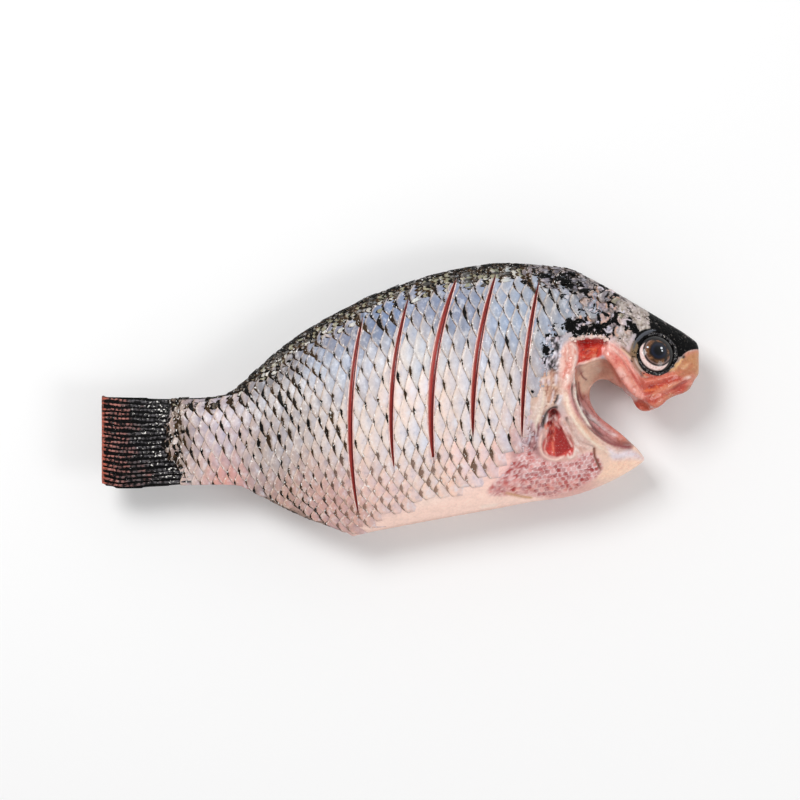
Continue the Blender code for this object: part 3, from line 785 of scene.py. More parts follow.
# The dark strokes just inside the rim, here and further down, are painted shade where the wall drops away under the
# rim.
skin.stroke(((76.8, 8.0), (77.2, 2.0), (78.8, -4.2), (82.0, -9.8), (86.0, -14.6)), 1.5, (84, 62, 52),
            -0.7, wet=1.0)
skin.stroke(((82.4, -9.0), (86.6, -14.0), (92.6, -18.2), (100, -20.6), (105.0, -21.4)), 3.4, (150, 82, 84),
            -0.3, wet=1.0)
skin.stroke(((77.8, 12.0), (77.9, 5.8), (78.8, 2.1), (80.4, -2), (82.8, -6.2), (86.4, -10.4), (91, -14.4)),
            0.8, (234, 226, 214), 0.9, wet=1.0)
skin.stroke(((76.6, 9.0), (76.9, 4.0), (78.0, -1.6), (80.6, -7.0), (84.6, -12.4), (89.0, -16.4)), 0.8,
            (122, 96, 84), -0.6, wet=1.0)
skin.stroke(((79.6, 3.6), (81.6, -2.2), (84.6, -6.8), (89.2, -11.4), (95.4, -16.0)), 2.2, (112, 74, 78),
            -0.4, wet=1.0)
skin.stroke(((82.6, 1.0), (84.4, -4.0), (88.4, -9.0), (94.2, -13.6), (101, -18.0)), 1.3, (206, 142, 140),
            0.5, wet=1.0)
skin.stroke(((85.2, -2.6), (89.4, -8.2), (95, -12.6), (102.4, -18.0)), 2.6, (228, 146, 128), 0.4, wet=1.0)
# The web is painted lighter than its own cream, as painted light against the shade it lies in deep in the throat.
skin.patch(((80.4, 13.6), (84, 16.6), (89, 18), (93, 16), (97, 11.4), (93, 9.2), (88, 8.6), (84.6, 3),
            (82, 4), (80, 9)), 1.2, (238, 184, 160), pigment=0.0, wet=0.4)
skin.patch(((80.6, 13.6), (84, 16.4), (89, 17.6), (91, 14), (87.6, 9.6), (84.2, 4), (81.4, 4)), 1.6,
           (250, 218, 194), pigment=0.0, wet=0.3)
skin.patch(((92.4, -20.8), (97, -23.2), (104, -22.6), (109, -25.6), (112, -28), (104, -28), (96, -27)),
           1.2, (234, 218, 224), pigment=0.0, wet=0.6)
skin.patch(((98, -27), (106, -26.4), (112, -28.4), (106, -32.4), (96, -35), (90, -35), (92, -30)), 2.0,
           (255, 214, 188), pigment=0.0, wet=0.5)

skin.strands(((75.0, 24.0), (76.4, 18.0), (75.0, 11.0), (73.8, 4.0), (75.6, -4.0)), 18, 1.5,
             ((250, 222, 212), (220, 134, 118), (240, 190, 176), (226, 152, 136)), 1.0, 0.25, 0.4, wet=0.8)
skin.strands(((74.2, 4.0), (76.4, -4.8), (82.0, -13.0), (88.6, -19.4), (98.0, -24.6)), 16, 1.2,
             ((250, 230, 210), (236, 194, 168), (244, 212, 196)), 1.0, 0.15, 0.7, wet=0.7)
skin.strands(((78.6, 8.0), (79.4, 1.6), (82.4, -5.0), (88.0, -11.6), (95.0, -16.6), (102.0, -19.6)), 12, 1.5,
             ((164, 94, 98), (206, 142, 142), (226, 176, 172), (186, 108, 108)), 1.1, 0.2, 0.9, wet=1.0)
skin.stroke(((80.4, -2.7), (83.3, -8.0), (89.4, -12.6), (92.4, -14.6)), 1.0, (236, 206, 204), 0.4, wet=1.0)
# Painted shade: dark strips along the inner side of the rim, here and in the dark stroke after the white line.
skin.stroke(((79.0, 5.0), (79.8, -1.0), (82.8, -7.2), (87.0, -12.4), (92.0, -16.6)), 1.7, (96, 60, 60), -0.5, wet=1.0)
skin.strands(((81.0, 2.0), (83.6, -4.0), (88.4, -9.6), (95.0, -14.6), (101.0, -18.6)), 14, 1.2,
             ((206, 140, 140), (150, 88, 92), (226, 170, 166)), 1.0, 0.2, 0.7, wet=1.0)
skin.stroke(((77.6, 6.0), (78.6, 0.0), (81.8, -7.4), (86.0, -12.4)), 0.8, (250, 240, 226), 0.4, wet=1.0)
skin.stroke(((79.2, 9.0), (79.0, 4.0), (80.6, -1.6), (83.6, -6.4), (87.6, -10.4)), 1.5, (84, 50, 52), -0.5, wet=1.0)
skin.stroke(((80.6, 8.6), (80.8, 4.0), (82.6, -0.4)), 0.7, (150, 84, 78), -0.3, wet=1.0)
skin.strands(((80.0, 2.0), (82.0, -3.6), (86.0, -9.0), (92.0, -14.0)), 12, 0.8,
             ((58, 36, 40), (120, 70, 76), (236, 214, 214)), 0.7, 0.25, 0.3, wet=1.0)
skin.stroke(((85.0, -6.4), (89.0, -10.8), (94.0, -14.6), (98.0, -16.6)), 0.6, (244, 224, 222), 0.4, wet=1.0)
skin.stroke(((79.2, 15.4), (80.4, 13.4), (82.0, 11.6)), 2.4, (176, 130, 122), wet=0.6)
skin.stroke(((81.4, 12.4), (82.6, 10.4), (84.4, 8.8)), 0.7, (150, 66, 56), -0.3, wet=0.8)
skin.stroke(((86.0, 15.6), (88.4, 14.8), (90.4, 12.6)), 1.6, (255, 226, 204), 0.2, wet=0.8)

# %% Paint the chest, the pocket of the wound and the ridge before it
CHEST = ((56, -22), (62, -26), (68, -28), (77, -27.6), (84, -23.6), (88.4, -25.6), (90.6, -31.4), (84, -37.4),
         (76, -41.0), (66, -43.6), (54, -42.6), (40, -42), (46, -33))
skin.patch(((60, 9), (71, 10), (71.6, 2), (68, -5), (65.6, -12), (62.6, -22), (54, -24), (53, -12), (58, -2)),
           2.4, (222, 190, 176), pigment=0.06, wet=0.4)
skin.patch(((56, -6), (62, -8), (64, -16), (62, -26), (52, -30), (50, -18)), 2.4, (184, 134, 134),
           pigment=0.2, wet=0.4)
BEHIND_GILL = ((60, 36), (68, 34), (72, 28), (70, 20), (71, 8), (68.6, -2), (64, -8), (60, -16), (54, -16), (55, 0),
               (57, 14), (60, 24))
wrinkled = patch(BEHIND_GILL, skin.x, skin.y, 2.2)
skin.lay(wrinkled * smoothstep(6, 20, skin.y) * 0.8, (196, 186, 194))
CHEEK_ZONES = (
    (((60, 33), (66, 34), (72, 29), (70.6, 20), (69.6, 11), (63, 10), (60.4, 18), (60, 26)), 1.9, 0.9, 0.40,
     ((214, 206, 216), (150, 138, 142), (232, 224, 232), (96, 84, 84), (186, 170, 180), (204, 184, 190)),
     (34, 28, 30)),
    (((64, 11), (69, 13), (70.6, 4), (68.6, -2), (64, -4), (60, 0), (61, 6)), 1.7, 0.75, 0.25,
     ((226, 186, 156), (208, 162, 134), (238, 210, 190), (214, 170, 150)), (160, 108, 88)),
    (((56, -2), (63, -3), (65, -8), (62, -16), (60, -24), (54, -24), (53, -12)), 1.9, 0.7, 0.28,
     ((214, 202, 212), (190, 148, 148), (230, 212, 212), (156, 108, 110)), (112, 70, 70)),
)
for number, (outline, size, amount, height, shades, seam) in enumerate(CHEEK_ZONES):
    zone = patch(outline, skin.x, skin.y, 1.4)
    skin.lobes(zone, size, shades, seam, amount, height, 30.0 + number)
skin.strands(((68.4, 30.0), (67.6, 25.0), (67.0, 19.0), (65.8, 12.0)), 34, 2.0,
             ((30, 26, 28), (236, 230, 238), (52, 44, 42), (214, 206, 218)), 0.7, 0.3, 0.3, pigment=0.1)
skin.strands(((67.0, 12.0), (66.4, 4.0), (63.8, -6.0), (62.0, -16.0)), 22, 1.8,
             ((244, 222, 206), (206, 160, 136), (232, 202, 186), (190, 136, 116), (226, 208, 212)),
             1.0, 0.25, 0.3, wet=0.5)
skin.strands(((62.4, 6.0), (61.6, 0.0), (60.6, -8.0), (59.0, -18.0)), 12, 0.9,
             ((240, 222, 204), (224, 200, 190), (206, 176, 160)), 1.4, 0.3, 0.6, wet=0.4)
skin.strands(((58.4, -4.0), (58.6, -14.0), (57.0, -24.0)), 26, 2.0,
             ((214, 204, 216), (164, 106, 108), (222, 186, 186), (122, 66, 68)), 0.9, 0.2, 0.3, wet=0.4)

# %% Press the pockets of the small scales into the chest
# The scales were scraped off here.  Each left a red pocket, and the pale net between them stands up.
pocket_draw = random.Random(8)
pockets = []
for row in range(14):
    for column in range(26):
        x = 38.0 + 2.35 * (column + 0.5 * (row % 2)) + pocket_draw.uniform(-0.35, 0.35)
        y = -48.0 + 1.95 * row + 0.14 * (x - 66) + pocket_draw.uniform(-0.3, 0.3)
        pockets.append((x, y, pocket_draw.random()))
on_chest = patch(CHEST, skin.x, skin.y, 1.2) * (skin.level > 0.15)
chosen = np.flatnonzero(on_chest > 0.01)
inward, which = cells([place[:2] for place in pockets], skin.x[chosen], skin.y[chosen])
depth = np.array([place[2] for place in pockets])[which]
hollow, red = np.zeros(len(skin.x)), np.zeros(len(skin.x))
hollow[chosen] = smoothstep(0.0, 0.6, inward) * on_chest[chosen]
red[chosen] = hollow[chosen] * smoothstep(0.15, 0.75, depth)
skin.lay(on_chest, (246, 218, 218), pigment=0.05, wet=0.6)
skin.lay(on_chest * smoothstep(-34, -40, skin.y), (236, 186, 172))
skin.lay(hollow * 0.75, (220, 122, 114), -0.3)
skin.lay(red, (172, 42, 38), -0.3)
# The crumple paints highlight on the ridges of the chest net and shade in its folds.
skin.crumple(on_chest, 3.0, 0.25, (252, 236, 236), (196, 100, 100), amount=0.35, seed=9.0)

# %% Paint the wound
wound_in = patch(WOUND, skin.x, skin.y, 0.5)
skin.lay(wound_in, (206, 62, 54), pigment=0.0, wet=1.0)
skin.patch(((70.4, -11), (75.2, -16.6), (77.4, -20.8), (73, -24), (69.6, -24.6)), 0.6, (164, 28, 26), wet=1.0)
skin.stroke(((68.0, -10.0), (68.6, -15.0), (68.4, -20.0), (69.0, -24.6)), 0.8, (240, 126, 100), 0.6, wet=1.0)
skin.patch(((66.8, -5), (70.4, -5.4), (72.0, -9.4), (69.4, -12), (67.0, -10)), 0.8, (222, 150, 144),
           1.0, wet=1.0)
skin.stroke(((63.8, -13.0), (64.3, -9.0), (66.0, -5.4), (68.6, -3.8), (70.6, -3.4)), 1.5, (40, 28, 28), -0.8,
            pigment=0.4)
skin.stroke(((66.0, -5.8), (68.4, -4.8), (70.4, -5.6), (71.4, -8.0)), 1.2, (128, 34, 32), -0.5, wet=1.0)
skin.stroke(((66.0, -9.6), (67.6, -7.4), (69.8, -7.4), (71.0, -9.4)), 0.9, (244, 214, 208), 0.6, wet=1.0)
skin.stroke(((66.4, -12.4), (68.2, -10.4), (70.2, -10.8), (71.6, -12.8)), 0.8, (232, 176, 166), 0.5, wet=1.0)
# Painted highlight: pale lines of light down the walls of the wound.
skin.stroke(((65.0, -14.0), (65.4, -18.0), (64.6, -22.0), (66.4, -25.0)), 0.7, (250, 196, 184), 0.5, wet=1.0)
skin.stroke(((72.6, -12.0), (75.2, -16.8), (77.4, -21.2)), 0.8, (250, 206, 196), 0.5, wet=1.0)
skin.stroke(((71.6, -7.6), (75.6, -13.6), (78.4, -19.6), (78.0, -24.6), (75.8, -25.8), (75.0, -23.8)), 1.1,
            (240, 214, 204), 0.6, wet=0.8)
skin.stroke(((63.4, -14.2), (62.6, -20), (64.4, -25), (69.6, -26.8), (74, -24.8)), 1.1, (244, 204, 192),
            0.5, wet=0.8)
skin.strands(((73.0, -7.0), (77.0, -14.0), (80.4, -20.0), (84.0, -24.0)), 18, 1.5,
             ((244, 224, 218), (214, 164, 148), (236, 204, 202), (196, 140, 126)), 0.9, 0.2, 0.45, wet=0.7)
# Painted shade: dark lines along the sunk creases, drawn again further down.
skin.stroke(((74.0, -7.7), (75.5, -10.7), (78.9, -16.7), (81.5, -19.3), (86.6, -21.0)), 0.75, (84, 52, 44), -0.6)
skin.stroke(((86.6, -21.0), (87.2, -24.0), (87.6, -26.2), (90.4, -32.2)), 0.7, (150, 92, 70), -0.5)
# Painted shade: a black line in a sunk crease, with a pale raised edge beside it.
skin.stroke(((70.5, 2.4), (70.0, 0.4), (68.9, -1.9)), 0.9, (40, 30, 32), -0.8)
skin.stroke(((71.6, 2.4), (71.2, 0.0), (70.2, -2.2)), 1.2, (232, 226, 232), 0.4, wet=0.8)
skin.stroke(((47, -41.6), (54, -43.4), (60, -44.2)), 1.1, (206, 152, 112), -0.3)
skin.stroke(((36, -48.2), (44, -46.9)), 1.2, (250, 224, 210), 0.4)
# Painted shade along the same creases.
skin.stroke(((74.2, -7.4), (75.9, -10.9), (79.1, -16.6), (81.9, -19.3), (87.0, -20.9)), 0.9, (74, 46, 40), -0.7)
skin.stroke(((87.0, -20.9), (87.3, -24.0), (87.8, -26.2), (90.6, -32.2)), 0.9, (140, 84, 66), -0.6)
skin.strands(((67.0, -9.0), (68.0, -16.0), (69.4, -23.0)), 14, 1.2, ((214, 84, 60), (160, 20, 18), (232, 120, 96)),
             0.8, 0.3, 0.3, wet=1.0)
for size, shade in ((2.6, (196, 92, 88)), (1.7, (244, 206, 200)), (0.9, (176, 66, 62))):
    ring = [(68.9 + size * math.cos(a), -8.6 + size * math.sin(a)) for a in (0.2, 1.1, 1.9, 2.8)]
    skin.stroke(ring, 0.9, shade, 0.35, wet=1.0)
skin.patch(((75.8, -7.0), (80.0, -14.6), (86.0, -20.0), (84.6, -22.4), (78.6, -18.0), (75.0, -11.0)), 1.0,
           (226, 196, 186), 0.2, pigment=0.0, wet=0.6)
skin.finish()

# %% [markdown]
# ## Finishes
#
# Every finish here is wet.  What differs is what lies under the water: mottled skin, clear horny scale,
# raw muscle, or the cornea of the eye.  The recipes below are short because a small helper adds the
# nodes; it does nothing that could not be done by hand in the shader editor.

# %% A helper that adds shader nodes
class Recipe:
    """Adds nodes to a material or a node group, and takes numbers or sockets as inputs."""

    def __init__(self, tree):
        self.tree = tree

    def put(self, kind, inputs=(), **settings):
        node = self.tree.nodes.new(("" if kind.startswith("NodeGroup") else "ShaderNode") + kind)
        for key, value in settings.items():
            setattr(node, key, value)
        for key, value in dict(inputs).items():
            socket = node.inputs[key]
            if isinstance(value, bpy.types.NodeSocket):
                self.tree.links.new(value, socket)
            else:
                socket.default_value = value
        return node

    def sum(self, operation, first, second=0.0, third=0.0, clamp=False):
        return self.put("Math", {0: first, 1: second, 2: third}, operation=operation,
                        use_clamp=clamp).outputs[0]

    def ramp(self, value, low, high):
        """0 below low, 1 above high, and smooth between; low may be the larger one."""
        return self.put("MapRange", {"Value": value, "From Min": low, "From Max": high},
                        interpolation_type="SMOOTHSTEP").outputs["Result"]

    def blend(self, factor, first, second, kind="MIX"):
        node = self.put("Mix", {"Factor": factor}, data_type="RGBA", blend_type=kind)
        for socket, value in ((node.inputs[6], first), (node.inputs[7], second)):
            if isinstance(value, bpy.types.NodeSocket):
                self.tree.links.new(value, socket)
            else:
                socket.default_value = tuple(value)[:3] + (1.0,)
        return node.outputs[2]

    def noise(self, place, scale, detail=3.0, rough=0.55, lean=None):
        if lean:
            place = self.put("Mapping", {"Vector": place, "Scale": lean}).outputs[0]
        return self.put("TexNoise", {"Vector": place, "Scale": scale, "Detail": detail,
                                     "Roughness": rough}).outputs[0]

    def layer(self, name):
        node = self.put("Attribute", attribute_name=name)
        return node.outputs["Color"]

    def parts(self, value):
        return self.put("SeparateColor", {"Color": value}).outputs

    def group(self, group, inputs=()):
        node = self.tree.nodes.new("ShaderNodeGroup")
        node.node_tree = group
        for key, value in dict(inputs).items():
            if isinstance(value, bpy.types.NodeSocket):
                self.tree.links.new(value, node.inputs[key])
            else:
                node.inputs[key].default_value = value
        return node.outputs


def new_material(name):
    material = bpy.data.materials.new(name)
    material.use_nodes = True
    material.node_tree.nodes.clear()
    recipe = Recipe(material.node_tree)
    shader = recipe.put("BsdfPrincipled")
    output = recipe.put("OutputMaterial")
    material.node_tree.links.new(shader.outputs[0], output.inputs[0])
    return material, recipe, shader


def join(recipe, shader, **sockets):
    """Joins sockets or sets numbers on the shader, by the shader's own input names."""
    for key, value in sockets.items():
        socket = shader.inputs[key.replace("_", " ")]
        if isinstance(value, bpy.types.NodeSocket):
            recipe.tree.links.new(value, socket)
        else:
            socket.default_value = value


def lin(red, green, blue):
    return tuple(colour(red, green, blue)) + (1.0,)


# %% [markdown]
# Wet skin is never one colour.  This group makes the small mottling that all finishes share: pale and
# dark flecks of about a millimetre, and the height of the tiny unevenness that breaks up the shine.

# %% The shared mottling
def mottling_group():
    group = bpy.data.node_groups.new("mottling", "ShaderNodeTree")
    face = group.interface
    face.new_socket("Color", in_out="INPUT", socket_type="NodeSocketColor")
    for name, start in (("Fleck Size", 1.0), ("Strength", 0.3)):
        face.new_socket(name, in_out="INPUT", socket_type="NodeSocketFloat").default_value = start
    face.new_socket("Color", in_out="OUTPUT", socket_type="NodeSocketColor")
    face.new_socket("Height", in_out="OUTPUT", socket_type="NodeSocketFloat")
    face.new_socket("Fleck", in_out="OUTPUT", socket_type="NodeSocketFloat")
    recipe = Recipe(group)
    given = recipe.put("NodeGroupInput").outputs
    place = recipe.put("TexCoord").outputs["Object"]
    size = recipe.sum("DIVIDE", 1000.0, given["Fleck Size"])
    sized = recipe.put("VectorMath", {0: place, "Scale": size}, operation="SCALE").outputs[0]
    fine = recipe.noise(sized, 1.0, 3.0, 0.6)
    broad = recipe.noise(sized, 0.28, 2.0, 0.5)
    mixed = recipe.sum("ADD", recipe.sum("MULTIPLY", fine, 0.65), recipe.sum("MULTIPLY", broad, 0.35))
    centred = recipe.sum("MULTIPLY", recipe.sum("SUBTRACT", mixed, 0.5), given["Strength"])
    factor = recipe.sum("ADD", 1.0, recipe.sum("MULTIPLY", centred, 3.0))
    shaded = recipe.put("VectorMath", {0: given["Color"], "Scale": factor}, operation="SCALE").outputs[0]
    out = recipe.put("NodeGroupOutput")
    group.links.new(shaded, out.inputs["Color"])
    group.links.new(mixed, out.inputs["Height"])
    group.links.new(fine, out.inputs["Fleck"])
    return group


mottling = mottling_group()


def pigment_group():
    """Black pigment: a value of 0 to 1 becomes ragged black spots that join up as it rises."""
    group = bpy.data.node_groups.new("pigment", "ShaderNodeTree")
    face = group.interface
    face.new_socket("Amount", in_out="INPUT", socket_type="NodeSocketFloat")
    face.new_socket("Place", in_out="INPUT", socket_type="NodeSocketVector")
    face.new_socket("Black", in_out="OUTPUT", socket_type="NodeSocketFloat")
    recipe = Recipe(group)
    given = recipe.put("NodeGroupInput").outputs
    grain = recipe.noise(given["Place"], 0.55, 5.0, 0.72)
    level = recipe.sum("ADD", recipe.sum("MULTIPLY", given["Amount"], 1.25),
                       recipe.sum("MULTIPLY", recipe.sum("SUBTRACT", grain, 0.5), 1.9))
    black = recipe.sum("MULTIPLY", recipe.ramp(level, 0.58, 0.72), recipe.ramp(given["Amount"], 0.02, 0.15))
    group.links.new(black, recipe.put("NodeGroupOutput").inputs["Black"])
    return group


pigment_spots = pigment_group()


def millimetres(recipe):
    place = recipe.put("TexCoord").outputs["Object"]
    return recipe.put("VectorMath", {0: place, "Scale": 1000.0}, operation="SCALE").outputs[0]


# %% The skin finish
def skin_finish():
    material, recipe, shader = new_material("wet_skin")
    marks = recipe.parts(recipe.layer("marks"))
    pigment, wet, streaked = marks[0], marks[1], marks[2]
    place = millimetres(recipe)
    mottled = recipe.group(mottling, {"Color": recipe.layer("paint"), "Fleck Size": 1.3, "Strength": 0.20})
    warped = recipe.noise(place, 0.45, 4.0, 0.7)
    fibre = recipe.noise(place, 1.0, 4.0, 0.7)
    flecks = recipe.noise(place, 1.5, 3.0, 0.6)
    base = mottled["Color"]
    deep = recipe.sum("MULTIPLY", recipe.ramp(warped, 0.52, 0.34), recipe.sum("MULTIPLY", wet, 0.5))
    base = recipe.blend(deep, base, lin(222, 154, 140), "MULTIPLY")
    pale = recipe.sum("MULTIPLY", recipe.ramp(fibre, 0.54, 0.70), recipe.sum("MULTIPLY", wet, 0.22))
    base = recipe.blend(pale, base, lin(252, 224, 214))
    # Painted highlight: small white glints on the wet parts.
    glint = recipe.sum("MULTIPLY", recipe.ramp(flecks, 0.68, 0.74), recipe.sum("MULTIPLY", wet, 0.7))
    base = recipe.blend(glint, base, lin(255, 246, 242))
    flow = recipe.put("VectorMath", {0: recipe.layer("flow"), "Scale": 10.0}, operation="SCALE").outputs[0]
    streaks = recipe.noise(flow, 1.0, 4.0, 0.65, lean=(0.26, 1.15, 1.0))
    black = recipe.group(pigment_spots, {"Amount": pigment, "Place": place})["Black"]
    level = recipe.sum("ADD", streaks, recipe.sum("MULTIPLY", pigment, 0.42))
    streak = recipe.ramp(level, 0.66, 0.72)
    black = recipe.blend(streaked, black, streak)
    specks = recipe.sum("MULTIPLY", recipe.ramp(fibre, 0.60, 0.70), 0.55)
    ink = recipe.blend(specks, lin(10, 10, 11), lin(96, 88, 80))
    # Painted highlight: pale glints in the black pigment.
    ink = recipe.blend(recipe.ramp(flecks, 0.69, 0.74), ink, lin(216, 212, 210))
    base = recipe.blend(black, base, ink)
    rough = recipe.sum("ADD", 0.34, recipe.sum("MULTIPLY", recipe.noise(place, 1.7, 2.0), 0.2))
    height = recipe.sum("ADD", recipe.sum("ADD", mottled["Height"], recipe.sum("MULTIPLY", flecks, 0.4)),
                        recipe.sum("MULTIPLY", recipe.sum("MULTIPLY", warped, wet), 1.6))
    bump = recipe.put("Bump", {"Strength": 0.7, "Distance": 0.0007, "Height": height})
    clear = recipe.sum("SUBTRACT", 1.0, recipe.sum("MULTIPLY", black, 0.85))
    coat = recipe.sum("MULTIPLY", recipe.sum("ADD", 0.2, recipe.sum("MULTIPLY", wet, 0.4)), clear)
    join(recipe, shader, Base_Color=base, Roughness=rough, Coat_Weight=coat, Coat_Roughness=0.08,
         Normal=bump.outputs[0], Specular_IOR_Level=recipe.sum("MULTIPLY", clear, 0.3))
    return material


wet_skin = skin_finish()
body_skin = add_piece("skin", skin_mesh, wet_skin)
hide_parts("body")

# %% [markdown]
# ## Scales
#
# A scale is a thin rounded plate.  Its front end is buried under the two scales before it and its free
# edge points to the tail, so only a diamond shows.  One plate is made with bmesh operators: a grid that
# is given a thickness.  It is then repeated in rows, and each copy is bent to the flank, because copies
# that are real mesh overlap and catch the light as the real ones do.
#
# The plate's map keeps how far a place is from the free edge and how far to the side, in centimetres.
# The finish uses it to draw the thin brown line, the clear margin with its painted highlight, the
# dark mark of each scale with its halo of painted shade, and painted glints.

# %% Make one plate
def make_plate(long_cuts, side_cuts):
    """A flat plate, 0 to 1 from the free edge to the root and -1 to 1 across, one unit thick."""
    bm = bmesh.new()
    bmesh.ops.create_grid(bm, x_segments=long_cuts, y_segments=side_cuts, size=1.0)
    bmesh.ops.scale(bm, vec=(0.5, 1.0, 1.0), verts=bm.verts)
    bmesh.ops.translate(bm, vec=(0.5, 0.0, 0.0), verts=bm.verts)
    bmesh.ops.solidify(bm, geom=bm.faces[:], thickness=1.0)
    bmesh.ops.recalc_face_normals(bm, faces=bm.faces)
    bm.loops.layers.uv.new("plate")
    mesh = bpy.data.meshes.new("plate")
    bm.to_mesh(mesh)
    bm.free()
    return mesh


COLUMN_LEAN = 0.09
PLATE = make_plate(3, 8)
SMALL_PLATE = make_plate(2, 4)
print("one plate:", len(PLATE.polygons), "faces, one small plate:", len(SMALL_PLATE.polygons), "faces")


# %% Shape many plates at once
class Plates:
    """Where each plate's free tip is, its size, and its colour and marks."""

    def __init__(self, plate, leaning=False):
        self.plate = plate
        self.leaning = leaning
        self.rows = []
        self.frames = []

    def add(self, x, y, length, reach, half, turn=0.0, shear=0.0, lift=0.5, tone=(1, 1, 1), spot=0.0,
            line=1.0, luck=0.5, thick=0.22, drop=0.07, side=1.0, pigment=0.0, frame=None):
        self.rows.append((x, y, length, reach, half, turn, shear, lift, *tone, spot, line, luck, thick,
                          drop, side, pigment))
        self.frames.append(frame)

    def shape(self):
        """Points of all plates in millimetres, their map, and their two colour layers."""
        unit = points_of(self.plate)
        top = unit[:, 2] > unit[:, 2].mean()
        table = np.array(self.rows, float)[:, :, None].transpose(1, 0, 2)
        (x, y, length, reach, half, turn, shear, lift, red, green, blue, spot, line, luck, thick, drop,
         side, pigment) = table
        u = unit[None, :, 0] ** 1.6
        v = unit[None, :, 1]
        across = v * half * (1.0 - 0.10 * u)
        corner = np.sqrt((across / half) ** 2 + 0.06) - math.sqrt(0.06)
        free = reach * corner / (math.sqrt(1.06) - math.sqrt(0.06))
        along = free + u * length - (COLUMN_LEAN * across if self.leaning else 0.0)
        turned_x = along * np.cos(turn) - across * np.sin(turn)
        turned_y = along * np.sin(turn) + across * np.cos(turn) + along * shear
        up = lift * (1 - 0.35 * v ** 2) - drop * u * length - np.where(top[None, :], 0.0, thick)
        if self.frames[0] is None:
            place_x, place_y = x + turned_x, keep_between(x + turned_x, y + turned_y)
            height = height_on(side, place_x, place_y)
            out = flank_facing(place_x, place_y)
            points = np.stack([place_x + out[..., 0] * up, place_y + out[..., 1] * up,
                               (height + out[..., 2] * up) * side], axis=-1)
        else:
            frames = np.array(self.frames)[:, :, None, :]
            start, first, second, out = (frames[:, k] for k in range(4))
            points = start + turned_x[..., None] * first + turned_y[..., None] * second + up[..., None] * out
            points[..., 2] = np.maximum(points[..., 2], 0.05 - MIDDLE / MM)
        spread = [np.broadcast_to(a, along.shape) for a in (spot, line, luck, pigment, red, green, blue)]
        spot, line, luck, pigment, red, green, blue = spread
        marks = np.stack([spot, line, luck, np.ones(along.shape)], axis=-1)
        pigment = np.clip(pigment + blotches(points[..., 0], points[..., 1]), 0.0, 1.0)
        tones = np.stack([red, green, blue, pigment], axis=-1)
        return points, np.stack([u * length + 0 * across, across], axis=-1) / 10.0, tones, marks


def repeat_plate(plate, count):
    bm = bmesh.new()
    for _ in range(count):
        bm.from_mesh(plate)
    return bm


def fill_plates(bm, points, spots, tones, marks):
    """Gives the repeated plates their places, their map and their colour layers."""
    uv = bm.loops.layers.uv.verify()
    tone_layer = bm.verts.layers.float_color.new("tone")
    mark_layer = bm.verts.layers.float_color.new("marks")
    points = points.reshape(-1, 3) * MM
    spots, tones, marks = spots.reshape(-1, 2), tones.reshape(-1, 4), marks.reshape(-1, 4)
    for vert, place, tone, mark in zip(bm.verts, points.tolist(), tones.tolist(), marks.tolist()):
        vert.co = (place[0], place[1], MIDDLE + place[2])
        vert[tone_layer] = tone
        vert[mark_layer] = mark
    bm.verts.index_update()
    for face in bm.faces:
        for loop in face.loops:
            loop[uv].uv = spots[loop.vert.index]


def cut_plate(bm, score, side_of_cut):
    """Trims one plate to one side of a score and closes the cut edge."""
    line, half = score_line(*score)
    centre = sum((v.co for v in bm.verts), Vector()) / len(bm.verts) / MM
    order = np.argsort(line[:, 1])
    middle = np.interp(centre.y, line[order, 1], line[order, 0])
    room = np.interp(centre.y, line[order, 1], half[order]) + 0.12
    step = 2.0
    ahead = np.interp([centre.y - step, centre.y + step], line[order, 1],
                      (line[:, 0] + side_of_cut * half)[order])
    slope = (ahead[1] - ahead[0]) / (2 * step)
    normal = Vector((-side_of_cut, side_of_cut * slope, 0.0))
    place = Vector(((middle + side_of_cut * room) * MM, centre.y * MM, MIDDLE))
    cut = bmesh.ops.bisect_plane(bm, geom=bm.verts[:] + bm.edges[:] + bm.faces[:], plane_co=place,
                                 plane_no=normal, clear_outer=True)
    rim = [e for e in cut["geom_cut"] if isinstance(e, bmesh.types.BMEdge)]
    if rim:
        bmesh.ops.holes_fill(bm, edges=rim, sides=0)


def build_plates(name, plates, material):
    """Makes one piece of all plates, and splits those that lie across a score."""
    shaped = plates.shape()
    places = shaped[0]
    kept = ((below_back(places[..., 0], places[..., 1]) > -0.6)
            & (above_belly(places[..., 0], places[..., 1]) > -0.4)).all(axis=1)
    crossing = {}
    for score in SCORES:
        line, half = score_line(*score)
        order = np.argsort(line[:, 1])
        middle = np.interp(places[..., 1], line[order, 1], line[order, 0])
        room = np.interp(places[..., 1], line[order, 1], half[order])
        reached = (places[..., 1] > line[order[0], 1]) & (places[..., 1] < line[order[-1], 1])
        near = (reached & (np.abs(places[..., 0] - middle) < room + 0.2)).any(axis=1)
        before = (reached & (places[..., 0] < middle)).any(axis=1)
        behind = (reached & (places[..., 0] > middle)).any(axis=1)
        crossing.update((int(i), score) for i in np.flatnonzero((near | (before & behind)) & kept))
    whole = np.array([i for i in np.flatnonzero(kept) if i not in crossing], int)
    bm = repeat_plate(plates.plate, len(whole))
    fill_plates(bm, *(a[whole] for a in shaped))
    cut_mesh = bpy.data.meshes.new("cut_plate")
    for i, score in crossing.items():
        for side_of_cut in (-1, 1):
            piece = repeat_plate(plates.plate, 1)
            fill_plates(piece, *(a[i:i + 1] for a in shaped))
            cut_plate(piece, score, side_of_cut)
            if piece.faces:
                piece.to_mesh(cut_mesh)
                bm.from_mesh(cut_mesh)
            piece.free()
    bmesh.ops.recalc_face_normals(bm, faces=bm.faces)
    mesh = bpy.data.meshes.new(name)
    bm.to_mesh(mesh)
    bm.free()
    print(name, len(places), "plates,", len(crossing), "of them cut")
    return add_piece(name, mesh, material)


